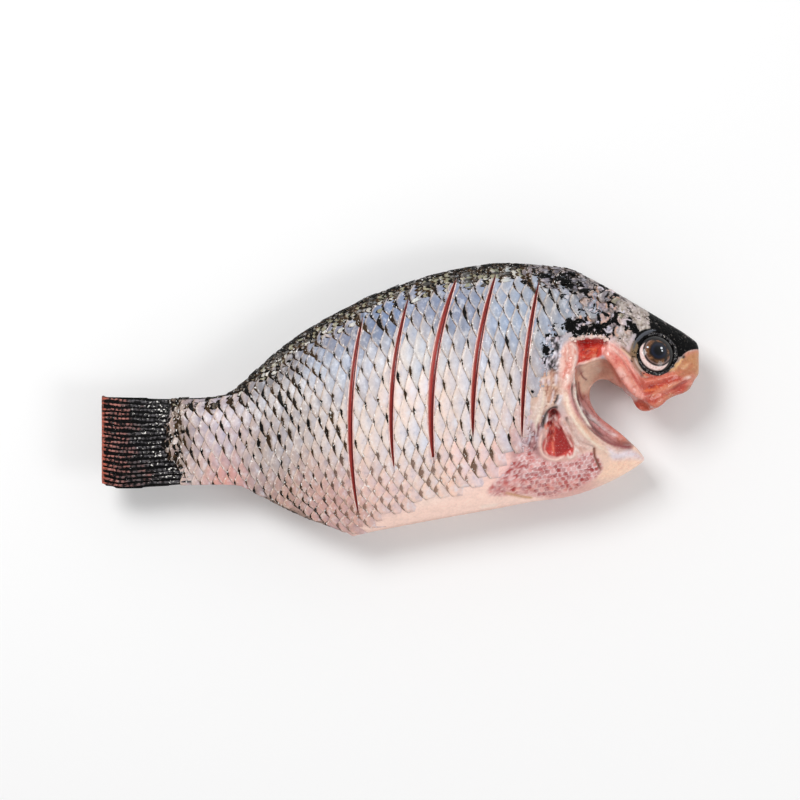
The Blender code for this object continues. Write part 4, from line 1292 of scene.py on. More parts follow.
# %% [markdown]
# ### The finish of a scale
#
# A wet scale is nearly clear.  It shows a pearly blue-grey sheen, a soft tan margin lightened with
# painted highlight along the lip, a thin brown edge and small painted white glints, and many carry a
# wedge of black pigment just inside the free tip, with a brown halo that is partly painted shade.

# %% The scale finish
def scale_finish():
    material, recipe, shader = new_material("wet_scale")
    spot_map = recipe.put("SeparateXYZ", {"Vector": recipe.put("UVMap", uv_map="plate").outputs[0]}).outputs
    inward = recipe.sum("MULTIPLY", spot_map["X"], 10.0)
    aside = recipe.sum("MULTIPLY", spot_map["Y"], 10.0)
    upper = recipe.ramp(aside, -0.3, 0.5)
    aside = recipe.sum("ABSOLUTE", aside)
    tone = recipe.put("Attribute", attribute_name="tone")
    marks = recipe.parts(recipe.layer("marks"))
    spot, line, luck = marks[0], marks[1], marks[2]
    place = millimetres(recipe)
    mottled = recipe.group(mottling, {"Color": tone.outputs["Color"], "Fleck Size": 1.6, "Strength": 0.16})
    grain = recipe.noise(place, 1.1, 3.0, 0.65)
    off = recipe.sum("SUBTRACT", grain, 0.5)
    cloud = recipe.noise(place, 0.36, 4.0, 0.62, lean=(1.3, 0.8, 1.0))
    pearl = recipe.blend(recipe.sum("MULTIPLY", recipe.ramp(cloud, 0.50, 0.68), 0.38), mottled["Color"],
                         lin(244, 244, 248))
    pearl = recipe.blend(recipe.sum("MULTIPLY", recipe.ramp(cloud, 0.47, 0.32), 0.5), pearl,
                         lin(206, 214, 228), "MULTIPLY")
    ragged = recipe.sum("ADD", inward, recipe.sum("MULTIPLY", off, 1.0))
    margin = recipe.ramp(ragged, 1.1, 0.5)
    pearl = recipe.blend(recipe.ramp(inward, 0.6, 4.5), recipe.blend(0.8, pearl, lin(255, 246, 236), "MULTIPLY"),
                         recipe.blend(0.8, pearl, lin(240, 246, 255), "MULTIPLY"))
    # The pale margin is partly the tan of the clear edge and partly painted light caught on the raised lip.
    pale = recipe.blend(recipe.ramp(luck, 0.3, 0.8), lin(230, 204, 184), lin(240, 226, 220))
    base = recipe.blend(recipe.sum("MULTIPLY", recipe.sum("MULTIPLY", margin, line), 0.55), pearl, pale)
    where = recipe.put("SeparateXYZ", {"Vector": place}).outputs
    low_down = recipe.sum("MULTIPLY", recipe.ramp(where["Y"], -18.0, -32.0), recipe.ramp(where["X"], -40.0, -20.0))
    lower_reach = recipe.sum("ADD", 2.0, recipe.sum("MULTIPLY", spot, recipe.sum("SUBTRACT", 5.6,
                             recipe.sum("MULTIPLY", low_down, 3.4))))
    upper_reach = recipe.sum("ADD", 1.1, recipe.sum("MULTIPLY", spot, 2.8))
    reach = recipe.put("Mix", {"Factor": upper, 2: lower_reach, 3: upper_reach}).outputs[0]
    taper = recipe.sum("SUBTRACT", 1.0, recipe.sum("DIVIDE", aside, reach), clamp=True)
    wide = recipe.sum("ADD", recipe.sum("ADD", 0.5, recipe.sum("MULTIPLY", low_down, 0.7)),
                      recipe.sum("MULTIPLY", spot, 1.9))
    wedge = recipe.sum("MULTIPLY", wide, taper)
    wedge = recipe.sum("SUBTRACT", wedge, recipe.sum("ADD", inward, recipe.sum("MULTIPLY", off, 1.5)))
    black = recipe.sum("MULTIPLY", recipe.ramp(wedge, -0.12, 0.10), recipe.ramp(spot, 0.04, 0.14))
    # A brown halo round the black mark: partly the pigment fading out, partly painted shade inside the edge.
    shade = recipe.ramp(wedge, -1.0, 0.1)
    base = recipe.blend(recipe.sum("MULTIPLY", shade, recipe.sum("MULTIPLY", spot, 0.9)), base,
                        lin(136, 112, 88))
    blot = recipe.group(pigment_spots, {"Amount": tone.outputs["Alpha"], "Place": place})["Black"]
    ink = recipe.blend(recipe.ramp(luck, 0.45, 0.95), lin(14, 13, 12), lin(62, 46, 30))
    ink = recipe.blend(recipe.sum("MULTIPLY", low_down, 0.65), ink, lin(122, 80, 62))
    soft = recipe.sum("SUBTRACT", 1.0, recipe.sum("MULTIPLY", low_down, 0.35))
    base = recipe.blend(recipe.sum("MULTIPLY", black, soft), base, ink)
    base = recipe.blend(blot, base, lin(14, 14, 14))
    rim = recipe.ramp(recipe.sum("ADD", inward, recipe.sum("MULTIPLY", off, 0.6)), 0.36, 0.12)
    broken = recipe.ramp(recipe.noise(place, 0.34, 3.0), 0.40, 0.60)
    # The brown edge line is fainter on the upper limb; the darker lower limb is partly pigment and partly painted
    # shade under the edge.
    faint = recipe.sum("SUBTRACT", 1.0, recipe.sum("MULTIPLY", upper, 0.55))
    rim = recipe.sum("MULTIPLY", recipe.sum("MULTIPLY", rim, line), recipe.sum("MULTIPLY", broken, faint))
    base = recipe.blend(rim, base, lin(112, 82, 58))
    # Painted highlight: small white glints close to the free edge.
    glint = recipe.sum("MULTIPLY", recipe.ramp(recipe.noise(place, 0.9, 2.0, lean=(1.3, 0.7, 1.0)), 0.62, 0.68),
                       recipe.ramp(inward, 2.2, 0.5))
    base = recipe.blend(recipe.sum("MULTIPLY", glint, 0.9), base, lin(255, 252, 250))
    ridges = recipe.sum("SINE", recipe.sum("MULTIPLY", inward, 16.0))
    height = recipe.sum("ADD", recipe.sum("MULTIPLY", ridges, 0.04), mottled["Height"])
    bump = recipe.put("Bump", {"Strength": 0.6, "Distance": 0.0006, "Height": height})
    dark = recipe.sum("MAXIMUM", black, blot)
    coat = recipe.sum("SUBTRACT", 0.4, recipe.sum("MULTIPLY", dark, 0.36))
    rough = recipe.sum("ADD", 0.30, recipe.sum("MULTIPLY", grain, 0.25))
    join(recipe, shader, Base_Color=base, Roughness=rough, Coat_Weight=coat, Coat_Roughness=0.1,
         Normal=bump.outputs[0], Specular_IOR_Level=recipe.sum("SUBTRACT", 0.25, recipe.sum("MULTIPLY", dark, 0.2)))
    return material


wet_scale = scale_finish()

# %% [markdown]
# ### Rows of scales
#
# The rows run level over the front of the flank, dip towards the belly behind the scores and run gently
# down the tail root.  The slope of a row at each place is given and summed up into its course.

# %% The course of the rows
ROW_LEVELS = (-62.6, -59.4, -56.0, -52.8, -49.6, -46.2, -42.6, -38.8, -34.6, -30.0, -24.2, -17.2, -9.6, -1.0,
              8.0, 17.0, 25.4, 33.0, 39.6, 45.2, 50.0, 54.2, 58.0)
MIDDLE_LEVEL = 8.0
course_x = np.linspace(-120.0, 140.0, 521)
course_slope = np.interp(course_x, (-110, -85, -68, -45, -30, -8, 8, 18, 60),
                         (0.05, 0.10, 0.22, 0.45, 0.32, 0.28, 0.32, 0.08, 0.05))
course_y = np.concatenate([[0.0], np.cumsum((course_slope[1:] + course_slope[:-1]) / 2
                                            * np.diff(course_x))])
course_y -= np.interp(30.0, course_x, course_y)


def closeness(x):
    """Rows draw together towards the tail."""
    return float(np.interp(x, (-110, -83, -68, -50, -40, -31, -15, 5),
                           (0.50, 0.60, 0.66, 0.69, 0.73, 0.82, 0.92, 1.0)))


def step_along(x):
    return float(np.interp(x, (-112, -85, -65, -45, -31, -10), (4.0, 5.2, 4.9, 4.4, 5.0, 5.9)))


def row_place(column_x, number):
    """Where the scale of a row and a column has its tip, the slope of the row there, and its step."""
    level = ROW_LEVELS[number] - MIDDLE_LEVEL
    x = column_x - COLUMN_LEAN * level

    def height(at):
        return MIDDLE_LEVEL + float(np.interp(at, course_x, course_y)) + level * closeness(at)

    slope = (height(x + 2.0) - height(x - 2.0)) / 4.0
    above = ROW_LEVELS[min(number + 1, len(ROW_LEVELS) - 1)]
    below = ROW_LEVELS[max(number - 1, 0)]
    return x, height(x), slope, (above - below) / 2 * closeness(x)


def column_places():
    """Places of the columns from front to back, half a scale apart."""
    places = [96.0]
    while places[-1] > -116.0:
        places.append(places[-1] - step_along(places[-1]) / 2)
    return places


FLANK = ((86, 47), (80, 41), (70, 35), (62.6, 28), (57.6, 14), (54.5, 2), (52, -9), (47.5, -19), (41, -28), (30, -36),
         (14, -43.5), (-8, -50), (-18, -57), (-32, -60), (-48, -52), (-60, -47), (-75, -41), (-99, -41),
         (-102, -30), (-106, -22), (-104, -8), (-101, 3), (-84, 3), (-60, 30), (-20, 60), (60, 66), (80, 60))
flank_outline = curve_through(FLANK, closed=True, steps=3)
print("columns of scales:", len(column_places()))


# %% Lay the scales of the flank
rng = random.Random(11)
DARK_PLACES = (
    (-52, 4, 16, 0.7), (-36, -6, 17, 0.66), (-60, -14, 14, 0.66), (-30, -26, 16, 0.5),
    (-20, 12, 13, 0.5), (8, -28, 16, 0.6), (34, -28, 14, 0.7), (50, -18, 9, 0.75), (24, -32, 12, 0.6),
    (54, 6, 9, 0.6), (-78, -16, 14, 0.45), (-74, 0, 10, 0.7), (-45, 20, 12, 0.6),
    (-8, 36, 6, 0.9), (-20, 33, 5, 0.8), (30, 40, 6, 0.6), (66, 20, 8, 0.8), (62, 52, 10, 0.8), (57, 52, 4, 1.0),
    (0, 8, 14, 0.42), (22, 18, 12, 0.5), (30, 2, 10, 0.4), (44, 22, 9, 0.6), (40, -6, 9, 0.4), (-98, -18, 10, 0.7), (22, 26, 6, 0.6),
)


def darkness(x, y):
    """How strong the black mark of a scale is at a place."""
    most = 0.26
    for px, py, radius, strength in DARK_PLACES:
        most = max(most, strength * math.exp(-((x - px) ** 2 + (y - py) ** 2) / (radius * radius)))
    near_back = float(below_back(x, y))
    return max(most, 1.0 - near_back / 13.0 if near_back < 13.0 else 0.0)


def tint(x, y):
    """Slow shifts of the pearly sheen between blue, lilac and cream."""
    cool = noise.noise(Vector((x / 15.0, y / 15.0, 3.0)))
    warm = noise.noise(Vector((x / 12.0, y / 12.0, 9.0)))
    return np.array((1.0 + 0.08 * warm, 1.0 + 0.02 * cool, 1.0 - 0.07 * warm + 0.06 * cool))


def lay_flank():
    plates = Plates(PLATE, leaning=True)
    columns = column_places()
    for number in range(len(ROW_LEVELS)):
        for k in range(number % 2, len(columns), 2):
            x, y, slope, high = row_place(columns[k], number)
            long = step_along(x)
            for side in (1.0, -1.0):
                jx, jy = rng.uniform(-0.45, 0.45), rng.uniform(-0.5, 0.5)
                if not inside(flank_outline, np.array([x + jx]), np.array([y + jy]))[0]:
                    continue
                if below_back(x, y) < (7.5 if x > -64 else 3.5) or above_belly(x, y) < 0.8:
                    continue
                if x > 60.0 and max(float(blotches(np.array(x + d), np.array(y))) for d in (-2.0, 1.0)) > 0.5:
                    continue
                tone = flank_tone(np.array([x + 3.0]), np.array([y]))[0] * rng.uniform(0.96, 1.04)
                dark = darkness(x, y)
                clear = float(smoothstep(4.0, 15.0, above_belly(x, y))) if x > -24 else 1.0
                spot = dark * rng.uniform(0.3, 1.5) if rng.random() < 0.5 + dark else 0.04
                plates.add(x + jx, y + jy, long * 1.35, long * 0.5, high * 1.05,
                           turn=rng.uniform(-0.06, 0.06), shear=slope,
                           lift=0.38 + 0.14 * clear + rng.uniform(-0.05, 0.06), tone=tone * tint(x, y),
                           spot=min(spot, 1.0), line=rng.uniform(0.3, 1.0) * (0.25 + 0.75 * clear),
                           luck=rng.random(), side=side)
    return plates


build_plates("flank_scales", lay_flank(), wet_scale)

# %% [markdown]
# ### Small scales on the back, the nape and the tail root
#
# Along the back the scales are small, narrow and set close.  On the nape they are broken and lie every
# way, because the knife passed there.

# %% Lay the small scales
skin_tree = BVHTree.FromPolygons([v.co[:] for v in skin_mesh.vertices],
                                 [p.vertices[:] for p in skin_mesh.polygons])


def frame_from(start, direction, forward):
    """A place on the skin with its forward, sideways and outward directions, or nothing if it is missed."""
    hit, facing, _, _ = skin_tree.ray_cast(start * MM, direction)
    if hit is None:
        return None
    if facing.dot(direction) > -0.5:
        return None
    first = (forward - facing * forward.dot(facing)).normalized()
    second = facing.cross(first)
    if second.y < 0:
        second = -second
    at = hit / MM - Vector((0.0, 0.0, MIDDLE / MM))
    return np.array([at[:], first[:], second[:], facing[:]])


def frame_above(x, y, side, forward=Vector((1.0, 0.0, 0.0))):
    return frame_from(Vector((x, y, MIDDLE / MM + side * 100.0)), Vector((0.0, 0.0, -side)), forward)


def back_frames(x, reach, step):
    """Frames over the rounded back at one place along the fish, from one flank to the other."""
    edge = np.array(BACK_EDGE, float)
    top = float(np.interp(x, edge[:, 0], edge[:, 1]))
    rise = float(np.interp(x + 4, edge[:, 0], edge[:, 1])) - float(np.interp(x - 4, edge[:, 0], edge[:, 1]))
    forward = Vector((8.0, rise, 0.0)).normalized()
    last = None
    for turn in np.linspace(-1.45, 1.45, 90):
        outward = Vector((0.0, math.cos(turn), math.sin(turn)))
        start = Vector((x, top - reach, MIDDLE / MM)) + outward * 60.0
        found = frame_from(start, -outward, forward)
        if found is None or found[0][1] < top - reach:
            continue
        if last is None or np.linalg.norm(found[0] - last) > step:
            last = found[0]
            yield found, top


def lay_back():
    plates = Plates(SMALL_PLATE)
    x = 79.0
    while x > -104.0:
        for frame, top in back_frames(x, 11.5 if x > -66 else 6.0, 1.9):
            depth = top - frame[0][1]
            if rng.random() < 0.12 + (depth - 8.0) / 5.0:
                continue
            pale = rng.random() - 0.75 * max(0.0, 1.0 - depth / 5.5)
            tone = colour(*((206, 206, 200) if pale > 0.66 else (150, 148, 122) if pale > 0.30
                            else (66, 62, 56))) * rng.uniform(0.8, 1.1)
            dark = max(0.0, 1.0 - depth / 6.0) * 0.45
            if x > 52.0:
                tone = colour(162, 152, 160) * rng.uniform(0.6, 1.1) * (0.6 + 0.05 * min(depth, 8.0))
                dark = 0.5 * dark
            plates.add(rng.uniform(-0.5, 0.5), rng.uniform(-0.3, 0.3), 4.8, 1.5, rng.uniform(0.9, 1.45),
                       turn=rng.uniform(-0.22, 0.22), lift=0.34 + rng.uniform(-0.08, 0.12), tone=tone,
                       spot=rng.choice((0.2, 0.5, 0.8)), line=rng.uniform(0.3, 1.0), luck=rng.random(),
                       thick=0.16, drop=0.07, pigment=0.20 + dark, frame=frame)
        x -= 2.5
    return plates


def lay_nape():
    plates = Plates(SMALL_PLATE)
    nape = ((68, 57), (80, 56), (92, 50), (101, 45), (104, 39), (101, 32), (99, 25), (94, 23.6),
            (90, 28.0), (84, 28.6), (77, 28.2), (71, 29), (67, 34), (70, 40), (74, 47), (66, 52))
    outline = curve_through(nape, closed=True, steps=4)
    for _ in range(110):
        x, y = rng.uniform(80, 106), rng.uniform(24, 56)
        size = rng.uniform(0.55, 1.0)
        side = rng.choice((1.0, -1.0))
        frame = frame_above(x, y, side)
        pick = rng.random()
        turn = rng.gauss(-0.4, 0.5)
        if frame is None or not inside(outline, np.array([x]), np.array([y]))[0]:
            continue
        if below_back(x, y) < 3.5 or float(blotches(np.array(x), np.array(y))) > 0.4 or (y < 31.0 and x < 97.0):
            continue
        fresh = (172, 178, 192) if x < 84 else (196, 182, 188)
        fresh = fresh if below_back(x, y) > 9.0 else (150, 140, 142)
        tone = colour(*(fresh if pick > 0.42 else (200, 174, 164) if pick > 0.18
                        else (146, 138, 120))) * rng.uniform(0.82, 1.1)
        plates.add(0.0, 0.0, 5.0 * size, 1.6 * size, 2.6 * size, turn=turn,
                   lift=0.20 + rng.uniform(-0.06, 0.16), tone=tone, spot=rng.choice((0.04, 0.04, 0.3)),
                   line=rng.uniform(0.2, 1.0), luck=rng.random(), thick=0.16, drop=0.10, pigment=0.16,
                   frame=frame)
    return plates


def lay_tail_root():
    plates = Plates(SMALL_PLATE)
    for _ in range(300):
        x, y = rng.uniform(-109.5, -99), rng.uniform(-37.6, -0.4)
        side = rng.choice((1.0, -1.0))
        frame = frame_above(x, y, side)
        border = float(tail_border(y))
        fade = smoothstep(border + 2.5, border - 1.5, x)
        if frame is None or rng.random() < fade:
            continue
        size = rng.uniform(0.7, 1.1) * (1.0 - 0.3 * fade)
        tone = colour(*rng.choice(((214, 204, 202), (176, 160, 154), (120, 106, 96)))) * rng.uniform(0.8, 1.1)
        plates.add(0.0, 0.0, 3.4 * size, 1.1 * size, 1.7 * size, turn=rng.uniform(-0.35, 0.35),
                   lift=0.5 + rng.uniform(-0.1, 0.2), tone=tone, spot=rng.choice((0.1, 0.5, 0.9)),
                   line=rng.uniform(0.4, 1.0), luck=rng.random(), thick=0.18, drop=0.12,
                   pigment=0.25 + 0.3 * fade, frame=frame)
    return plates


build_plates("tail_root_scales", lay_tail_root(), wet_scale)
build_plates("back_scales", lay_back(), wet_scale)
build_plates("nape_scales", lay_nape(), wet_scale)


# %% [markdown]
# ## The scores
#
# Five cuts cross the flank on each side.  A cut through skin opens as a narrow lens: its lips roll out,
# pale and a little swollen, and its walls are red muscle, painted pale high on the left wall and dark red
# down the floor and the right wall as painted light and shade.  Each is one strip whose section is drawn
# once, extruded along the cut, and then given a thickness.

# %% Line the scores with flesh
SECTION = ((-1.0, 0.62, -0.5), (-1.0, 0.50, 0.34), (-1.0, 0.22, 0.56), (-1.0, 0.0, 0.34), (-0.9, 0.0, -0.5),
           (-0.55, 0.0, -1.0), (0.0, 0.0, -1.7), (0.6, 0.0, -1.8), (0.9, 0.0, -0.5), (1.0, 0.0, 0.34),
           (1.0, 0.22, 0.56), (1.0, 0.50, 0.34), (1.0, 0.62, -0.5))


def score_strip(score, side):
    """One lining: the section is a chain of points, swept along the cut."""
    line, half = score_line(*score, steps=40)
    bm = bmesh.new()
    chain = [bm.verts.new((number, 0.0, 0.0)) for number in range(len(SECTION))]
    edges = [bm.edges.new(pair) for pair in zip(chain, chain[1:])]
    uv = bm.loops.layers.uv.new("plate")
    rings = [chain]
    for _ in range(len(line) - 1):
        grown = bmesh.ops.extrude_edge_only(bm, edges=edges)["geom"]
        fresh = {v for v in grown if isinstance(v, bmesh.types.BMVert)}
        edges = [e for e in grown if isinstance(e, bmesh.types.BMEdge) and set(e.verts) <= fresh]
        rings.append(sorted(fresh, key=lambda v: v.co.x))
    where = {}
    for i, ring in enumerate(rings):
        x, y = line[i]
        opened = float(half[i])
        ends = min(1.0, opened / 0.55)
        for (wide, out, down), vert in zip(SECTION, ring):
            sign = math.copysign(1.0, wide) if wide else 0.0
            px = x + wide * opened * (0.92 if down < -1 else 1.0) + sign * out * (0.35 + 0.65 * ends)
            base = float(height_on(side, np.array(px), np.array(y)))
            lip = down if down > 0 else down * min(1.0, 0.2 + opened / 0.9)
            vert.co = (px * MM, y * MM, MIDDLE + side * (base + lip * (ends if down > 0 else 1.0)) * MM)
            where[vert] = (0.1 * i, (sign * (abs(wide) * 0.5 + out)) / 10, min(down, 0.5))
    for face in bm.faces:
        for loop in face.loops:
            along, aside, down = where[loop.vert]
            loop[uv].uv = (aside, down / 10)
    bmesh.ops.recalc_face_normals(bm, faces=bm.faces)
    up = sum(f.normal.z * f.calc_area() for f in bm.faces)
    if up * side < 0:
        bmesh.ops.reverse_faces(bm, faces=bm.faces)
    bmesh.ops.solidify(bm, geom=bm.faces[:], thickness=0.25 * MM)
    bmesh.ops.recalc_face_normals(bm, faces=bm.faces)
    return bm


def score_finish():
    material, recipe, shader = new_material("raw_cut")
    spot_map = recipe.put("SeparateXYZ", {"Vector": recipe.put("UVMap", uv_map="plate").outputs[0]}).outputs
    aside = recipe.sum("MULTIPLY", spot_map["X"], 10.0)
    down = recipe.sum("MULTIPLY", spot_map["Y"], 10.0)
    place = millimetres(recipe)
    grain = recipe.noise(place, 0.9, 3.0, 0.6, lean=(2.2, 0.5, 1.0))
    # Painted light and shade: the left wall is painted pale as if lit, the floor and right wall dark red as if in
    # shade.
    muscle_lit_and_shaded = recipe.blend(recipe.ramp(aside, -0.46, -0.15), lin(250, 150, 140), lin(222, 82, 74))
    muscle_lit_and_shaded = recipe.blend(recipe.ramp(aside, 0.0, 0.16), muscle_lit_and_shaded, lin(96, 10, 14))
    muscle_lit_and_shaded = recipe.blend(recipe.sum("MULTIPLY", recipe.ramp(grain, 0.45, 0.75), 0.4), muscle_lit_and_shaded,
                          lin(150, 24, 24))
    lip = recipe.ramp(recipe.sum("ADD", down, recipe.sum("MULTIPLY", recipe.sum("SUBTRACT", grain, 0.5), 0.8)),
                      -0.30, 0.15)
    pale = recipe.blend(recipe.ramp(grain, 0.4, 0.65), lin(244, 214, 206), lin(218, 166, 156))
    base = recipe.blend(lip, muscle_lit_and_shaded, pale)
    bump = recipe.put("Bump", {"Strength": 0.5, "Distance": 0.0006, "Height": grain})
    join(recipe, shader, Base_Color=base, Roughness=0.3, Coat_Weight=0.8, Coat_Roughness=0.08,
         Normal=bump.outputs[0])
    return material


def line_scores():
    bm = bmesh.new()
    for score in SCORES:
        for side in (1.0, -1.0):
            strip = score_strip(score, side)
            mesh = bpy.data.meshes.new("strip")
            strip.to_mesh(mesh)
            strip.free()
            bm.from_mesh(mesh)
    mesh = bpy.data.meshes.new("score_flesh")
    bm.to_mesh(mesh)
    bm.free()
    return mesh


add_piece("score_flesh", line_scores(), score_finish())

# %% [markdown]
# ## The tail fin
#
# A fin is a sheet of skin held by bony rays.  Each ray is a chain of short segments, thick at the root
# and flat at the end, where the fin was cut straight across.  A small ring of points extruded step by
# step, with a bead at each segment, gives one ray.

# %% Make the rays of the tail
RAYS = 19
RAY_STEPS = 30
FIN_END = -134.6


def fin_edges(x):
    """Upper and lower outline of the fin."""
    top = np.interp(x, (-135, -126, -113, -102, -91), (2.4, 2.0, 1.2, 0.8, 0.8))
    low = np.interp(x, (-135, -126, -113, -102, -91), (-38.8, -40.8, -39.8, -38.8, -38.2))
    return top, low


def ray(bm, share, side, luck):
    """One ray: a ring of eight points extruded from the root of the fin to its end."""
    ring = bmesh.ops.create_circle(bm, cap_ends=True, segments=8, radius=1.0)["verts"]
    rings = [ring]
    face = ring[0].link_faces[0]
    for _ in range(RAY_STEPS):
        grown = bmesh.ops.extrude_face_region(bm, geom=[face])["geom"]
        face = next(f for f in grown if isinstance(f, bmesh.types.BMFace))
        rings.append([v for v in grown if isinstance(v, bmesh.types.BMVert)])
    spots = {}
    top, low = fin_edges(-104.0)
    root = float(tail_border(low + (top - low) * share)) + 1.6 * luck
    for i, ring in enumerate(rings):
        t = i / RAY_STEPS
        x = root + (FIN_END - root) * t
        top, low = fin_edges(x)
        y = low + 0.9 + (top - low - 1.8) * share + 0.3 * math.sin(5 * t + 9 * luck)
        y += 0.14 * math.sin(17 * t + 21 * luck)
        bead = 0.84 + 0.2 * abs(math.sin(math.pi * (t * 16 + 3 * luck))) + 0.14 * math.sin(11 * t + 31 * luck)
        wide = (0.66 - 0.18 * t) * bead
        base = float(height_on(side, np.array(x), np.array(y)))
        for vert in ring:
            py = y + wide * vert.co.x
            pz = base + 0.12 + wide * 0.55 * vert.co.y
            vert.co = (x * MM, py * MM, MIDDLE + side * pz * MM)
            spots[vert] = (t, t * 16 + 3 * luck)
    return spots


def fin_mesh():
    whole = bmesh.new()
    whole.loops.layers.uv.new("plate")
    draw = random.Random(5)
    for side in (1.0, -1.0):
        for k in range(RAYS):
            bm = bmesh.new()
            bm.loops.layers.uv.new("plate")
            spots = ray(bm, (k + 0.5) / RAYS, side, draw.random())
            uv = bm.loops.layers.uv.verify()
            for face in bm.faces:
                for loop in face.loops:
                    loop[uv].uv = spots[loop.vert]
            bmesh.ops.recalc_face_normals(bm, faces=bm.faces)
            mesh = bpy.data.meshes.new("ray")
            bm.to_mesh(mesh)
            bm.free()
            whole.from_mesh(mesh)
    mesh = bpy.data.meshes.new("tail_rays")
    whole.to_mesh(mesh)
    whole.free()
    return mesh


def ray_finish():
    material, recipe, shader = new_material("wet_ray")
    place = millimetres(recipe)
    spot_map = recipe.put("SeparateXYZ", {"Vector": recipe.put("UVMap", uv_map="plate").outputs[0]}).outputs
    bead = recipe.sum("ABSOLUTE", recipe.sum("SINE", recipe.sum("MULTIPLY", spot_map["Y"], math.pi)))
    uneven = recipe.sum("SUBTRACT", recipe.noise(place, 0.7, 3.0, 0.7), 0.5)
    streak = recipe.sum("SUBTRACT", recipe.noise(place, 1.0, 3.0, 0.7, lean=(0.30, 0.9, 0.9)), 0.5)
    lit = recipe.sum("ADD", recipe.sum("MULTIPLY", bead, 0.45), recipe.sum("MULTIPLY", streak, 2.6))
    lit = recipe.ramp(recipe.sum("ADD", lit, recipe.sum("MULTIPLY", uneven, 1.6)), 0.0, 0.6)
    patchy = recipe.noise(place, 0.16, 2.0)
    light = recipe.blend(recipe.ramp(recipe.sum("ADD", spot_map["X"], recipe.sum("SUBTRACT", patchy, 0.5)),
                                     0.40, 0.9), lin(86, 83, 86), lin(186, 122, 112))
    base = recipe.blend(lit, lin(8, 7, 8), light)
    # Painted highlight: white glints on the rays, most of them near the root.
    root = recipe.ramp(spot_map["X"], 0.75, 0.1)
    glint = recipe.ramp(recipe.sum("ADD", recipe.noise(place, 0.9, 2.0), recipe.sum("MULTIPLY", root, 0.05)),
                        0.645, 0.70)
    base = recipe.blend(recipe.sum("MULTIPLY", glint, recipe.sum("ADD", 0.16, root)), base, lin(250, 246, 240))
    edge = recipe.sum("ADD", spot_map["X"], recipe.sum("MULTIPLY", uneven, 0.16))
    base = recipe.blend(recipe.ramp(edge, 0.92, 1.0), base, lin(184, 92, 72))
    join(recipe, shader, Base_Color=base, Roughness=0.36, Coat_Weight=0.12, Coat_Roughness=0.1,
         Specular_IOR_Level=0.12)
    return material


add_piece("tail_rays", fin_mesh(), ray_finish())

# %% [markdown]
# ## The torn edge above the gill opening
#
# The black skin ends here in a row of ragged flaps with white tips that hang over the raw flesh.  The
# plate of the scales serves again, turned so that its tip points down.

# %% Hang the torn flaps
def lay_flaps():
    plates = Plates(SMALL_PLATE)
    course = curve_through(((76.4, 26.2), (79, 26.4), (83, 27.3), (87, 27.8), (90.6, 27.2), (93.0, 25.6),
                            (95.6, 24.2), (98.4, 22.0)), steps=6)
    for (x, y) in course:
        for side in (1.0, -1.0):
            for back in (0.2, 1.4):
                size = rng.uniform(0.4, 0.9)
                tone = colour(236, 206, 200) * rng.uniform(0.75, 1.0)
                plates.add(x + rng.uniform(-0.8, 0.8), y + back + rng.uniform(-0.6, 0.5), 2.0 * size,
                           0.7 * size, 1.0 * size, turn=math.pi / 2 + rng.gauss(0.0, 0.6),
                           lift=0.5 + rng.uniform(-0.2, 0.3) - 0.2 * back, tone=tone,
                           spot=0.04, line=0.1, luck=rng.random() * 0.4, thick=0.3, drop=0.12,
                           pigment=(0.10 if back < 1.0 else 0.5) + rng.uniform(-0.1, 0.15), side=side)
    return plates


build_plates("torn_flaps", lay_flaps(), wet_scale)

# %% [markdown]
# ## The eyes
#
# A fish eye is a flattened ball in a dark wet ring.  The round parts, which are the pupil, the iris and
# the white, are drawn from a flat map that looks straight into the eye, so they stay crisp.

# %% Shape the eyes
EYE_RADIUS, EYE_DEPTH = 9.2, 5.6
EYE_ASIDE = (-0.9, -1.1)
EYE_PIECES = (("eye_upper", 1.0), ("eye_under", -1.0))
eye_facing = Vector((0.25, 0.257, 0.933)).normalized()


def eye_place(node, side):
    low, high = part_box(node)
    centre = (low + high) / 2
    facing = Vector((eye_facing.x, eye_facing.y, eye_facing.z * side))
    turn = Vector((0.0, 0.0, 1.0)).rotation_difference(facing).to_matrix().to_4x4()
    return Matrix.Translation(centre) @ turn @ Matrix.Scale(MM, 4)


def eye_ball(node, side):
    bm = bmesh.new()
    bmesh.ops.create_uvsphere(bm, u_segments=48, v_segments=24, radius=1.0)
    bmesh.ops.scale(bm, vec=(EYE_RADIUS, EYE_RADIUS, EYE_DEPTH), verts=bm.verts)
    bmesh.ops.translate(bm, vec=(*EYE_ASIDE, 0.0), verts=bm.verts)
    uv = bm.loops.layers.uv.new("look")
    for face in bm.faces:
        for loop in face.loops:
            loop[uv].uv = (loop.vert.co.x / 10, loop.vert.co.y / 10)
    bmesh.ops.transform(bm, matrix=eye_place(node, side), verts=bm.verts)
    bmesh.ops.recalc_face_normals(bm, faces=bm.faces)
    mesh = bpy.data.meshes.new(node)
    bm.to_mesh(mesh)
    bm.free()
    return mesh


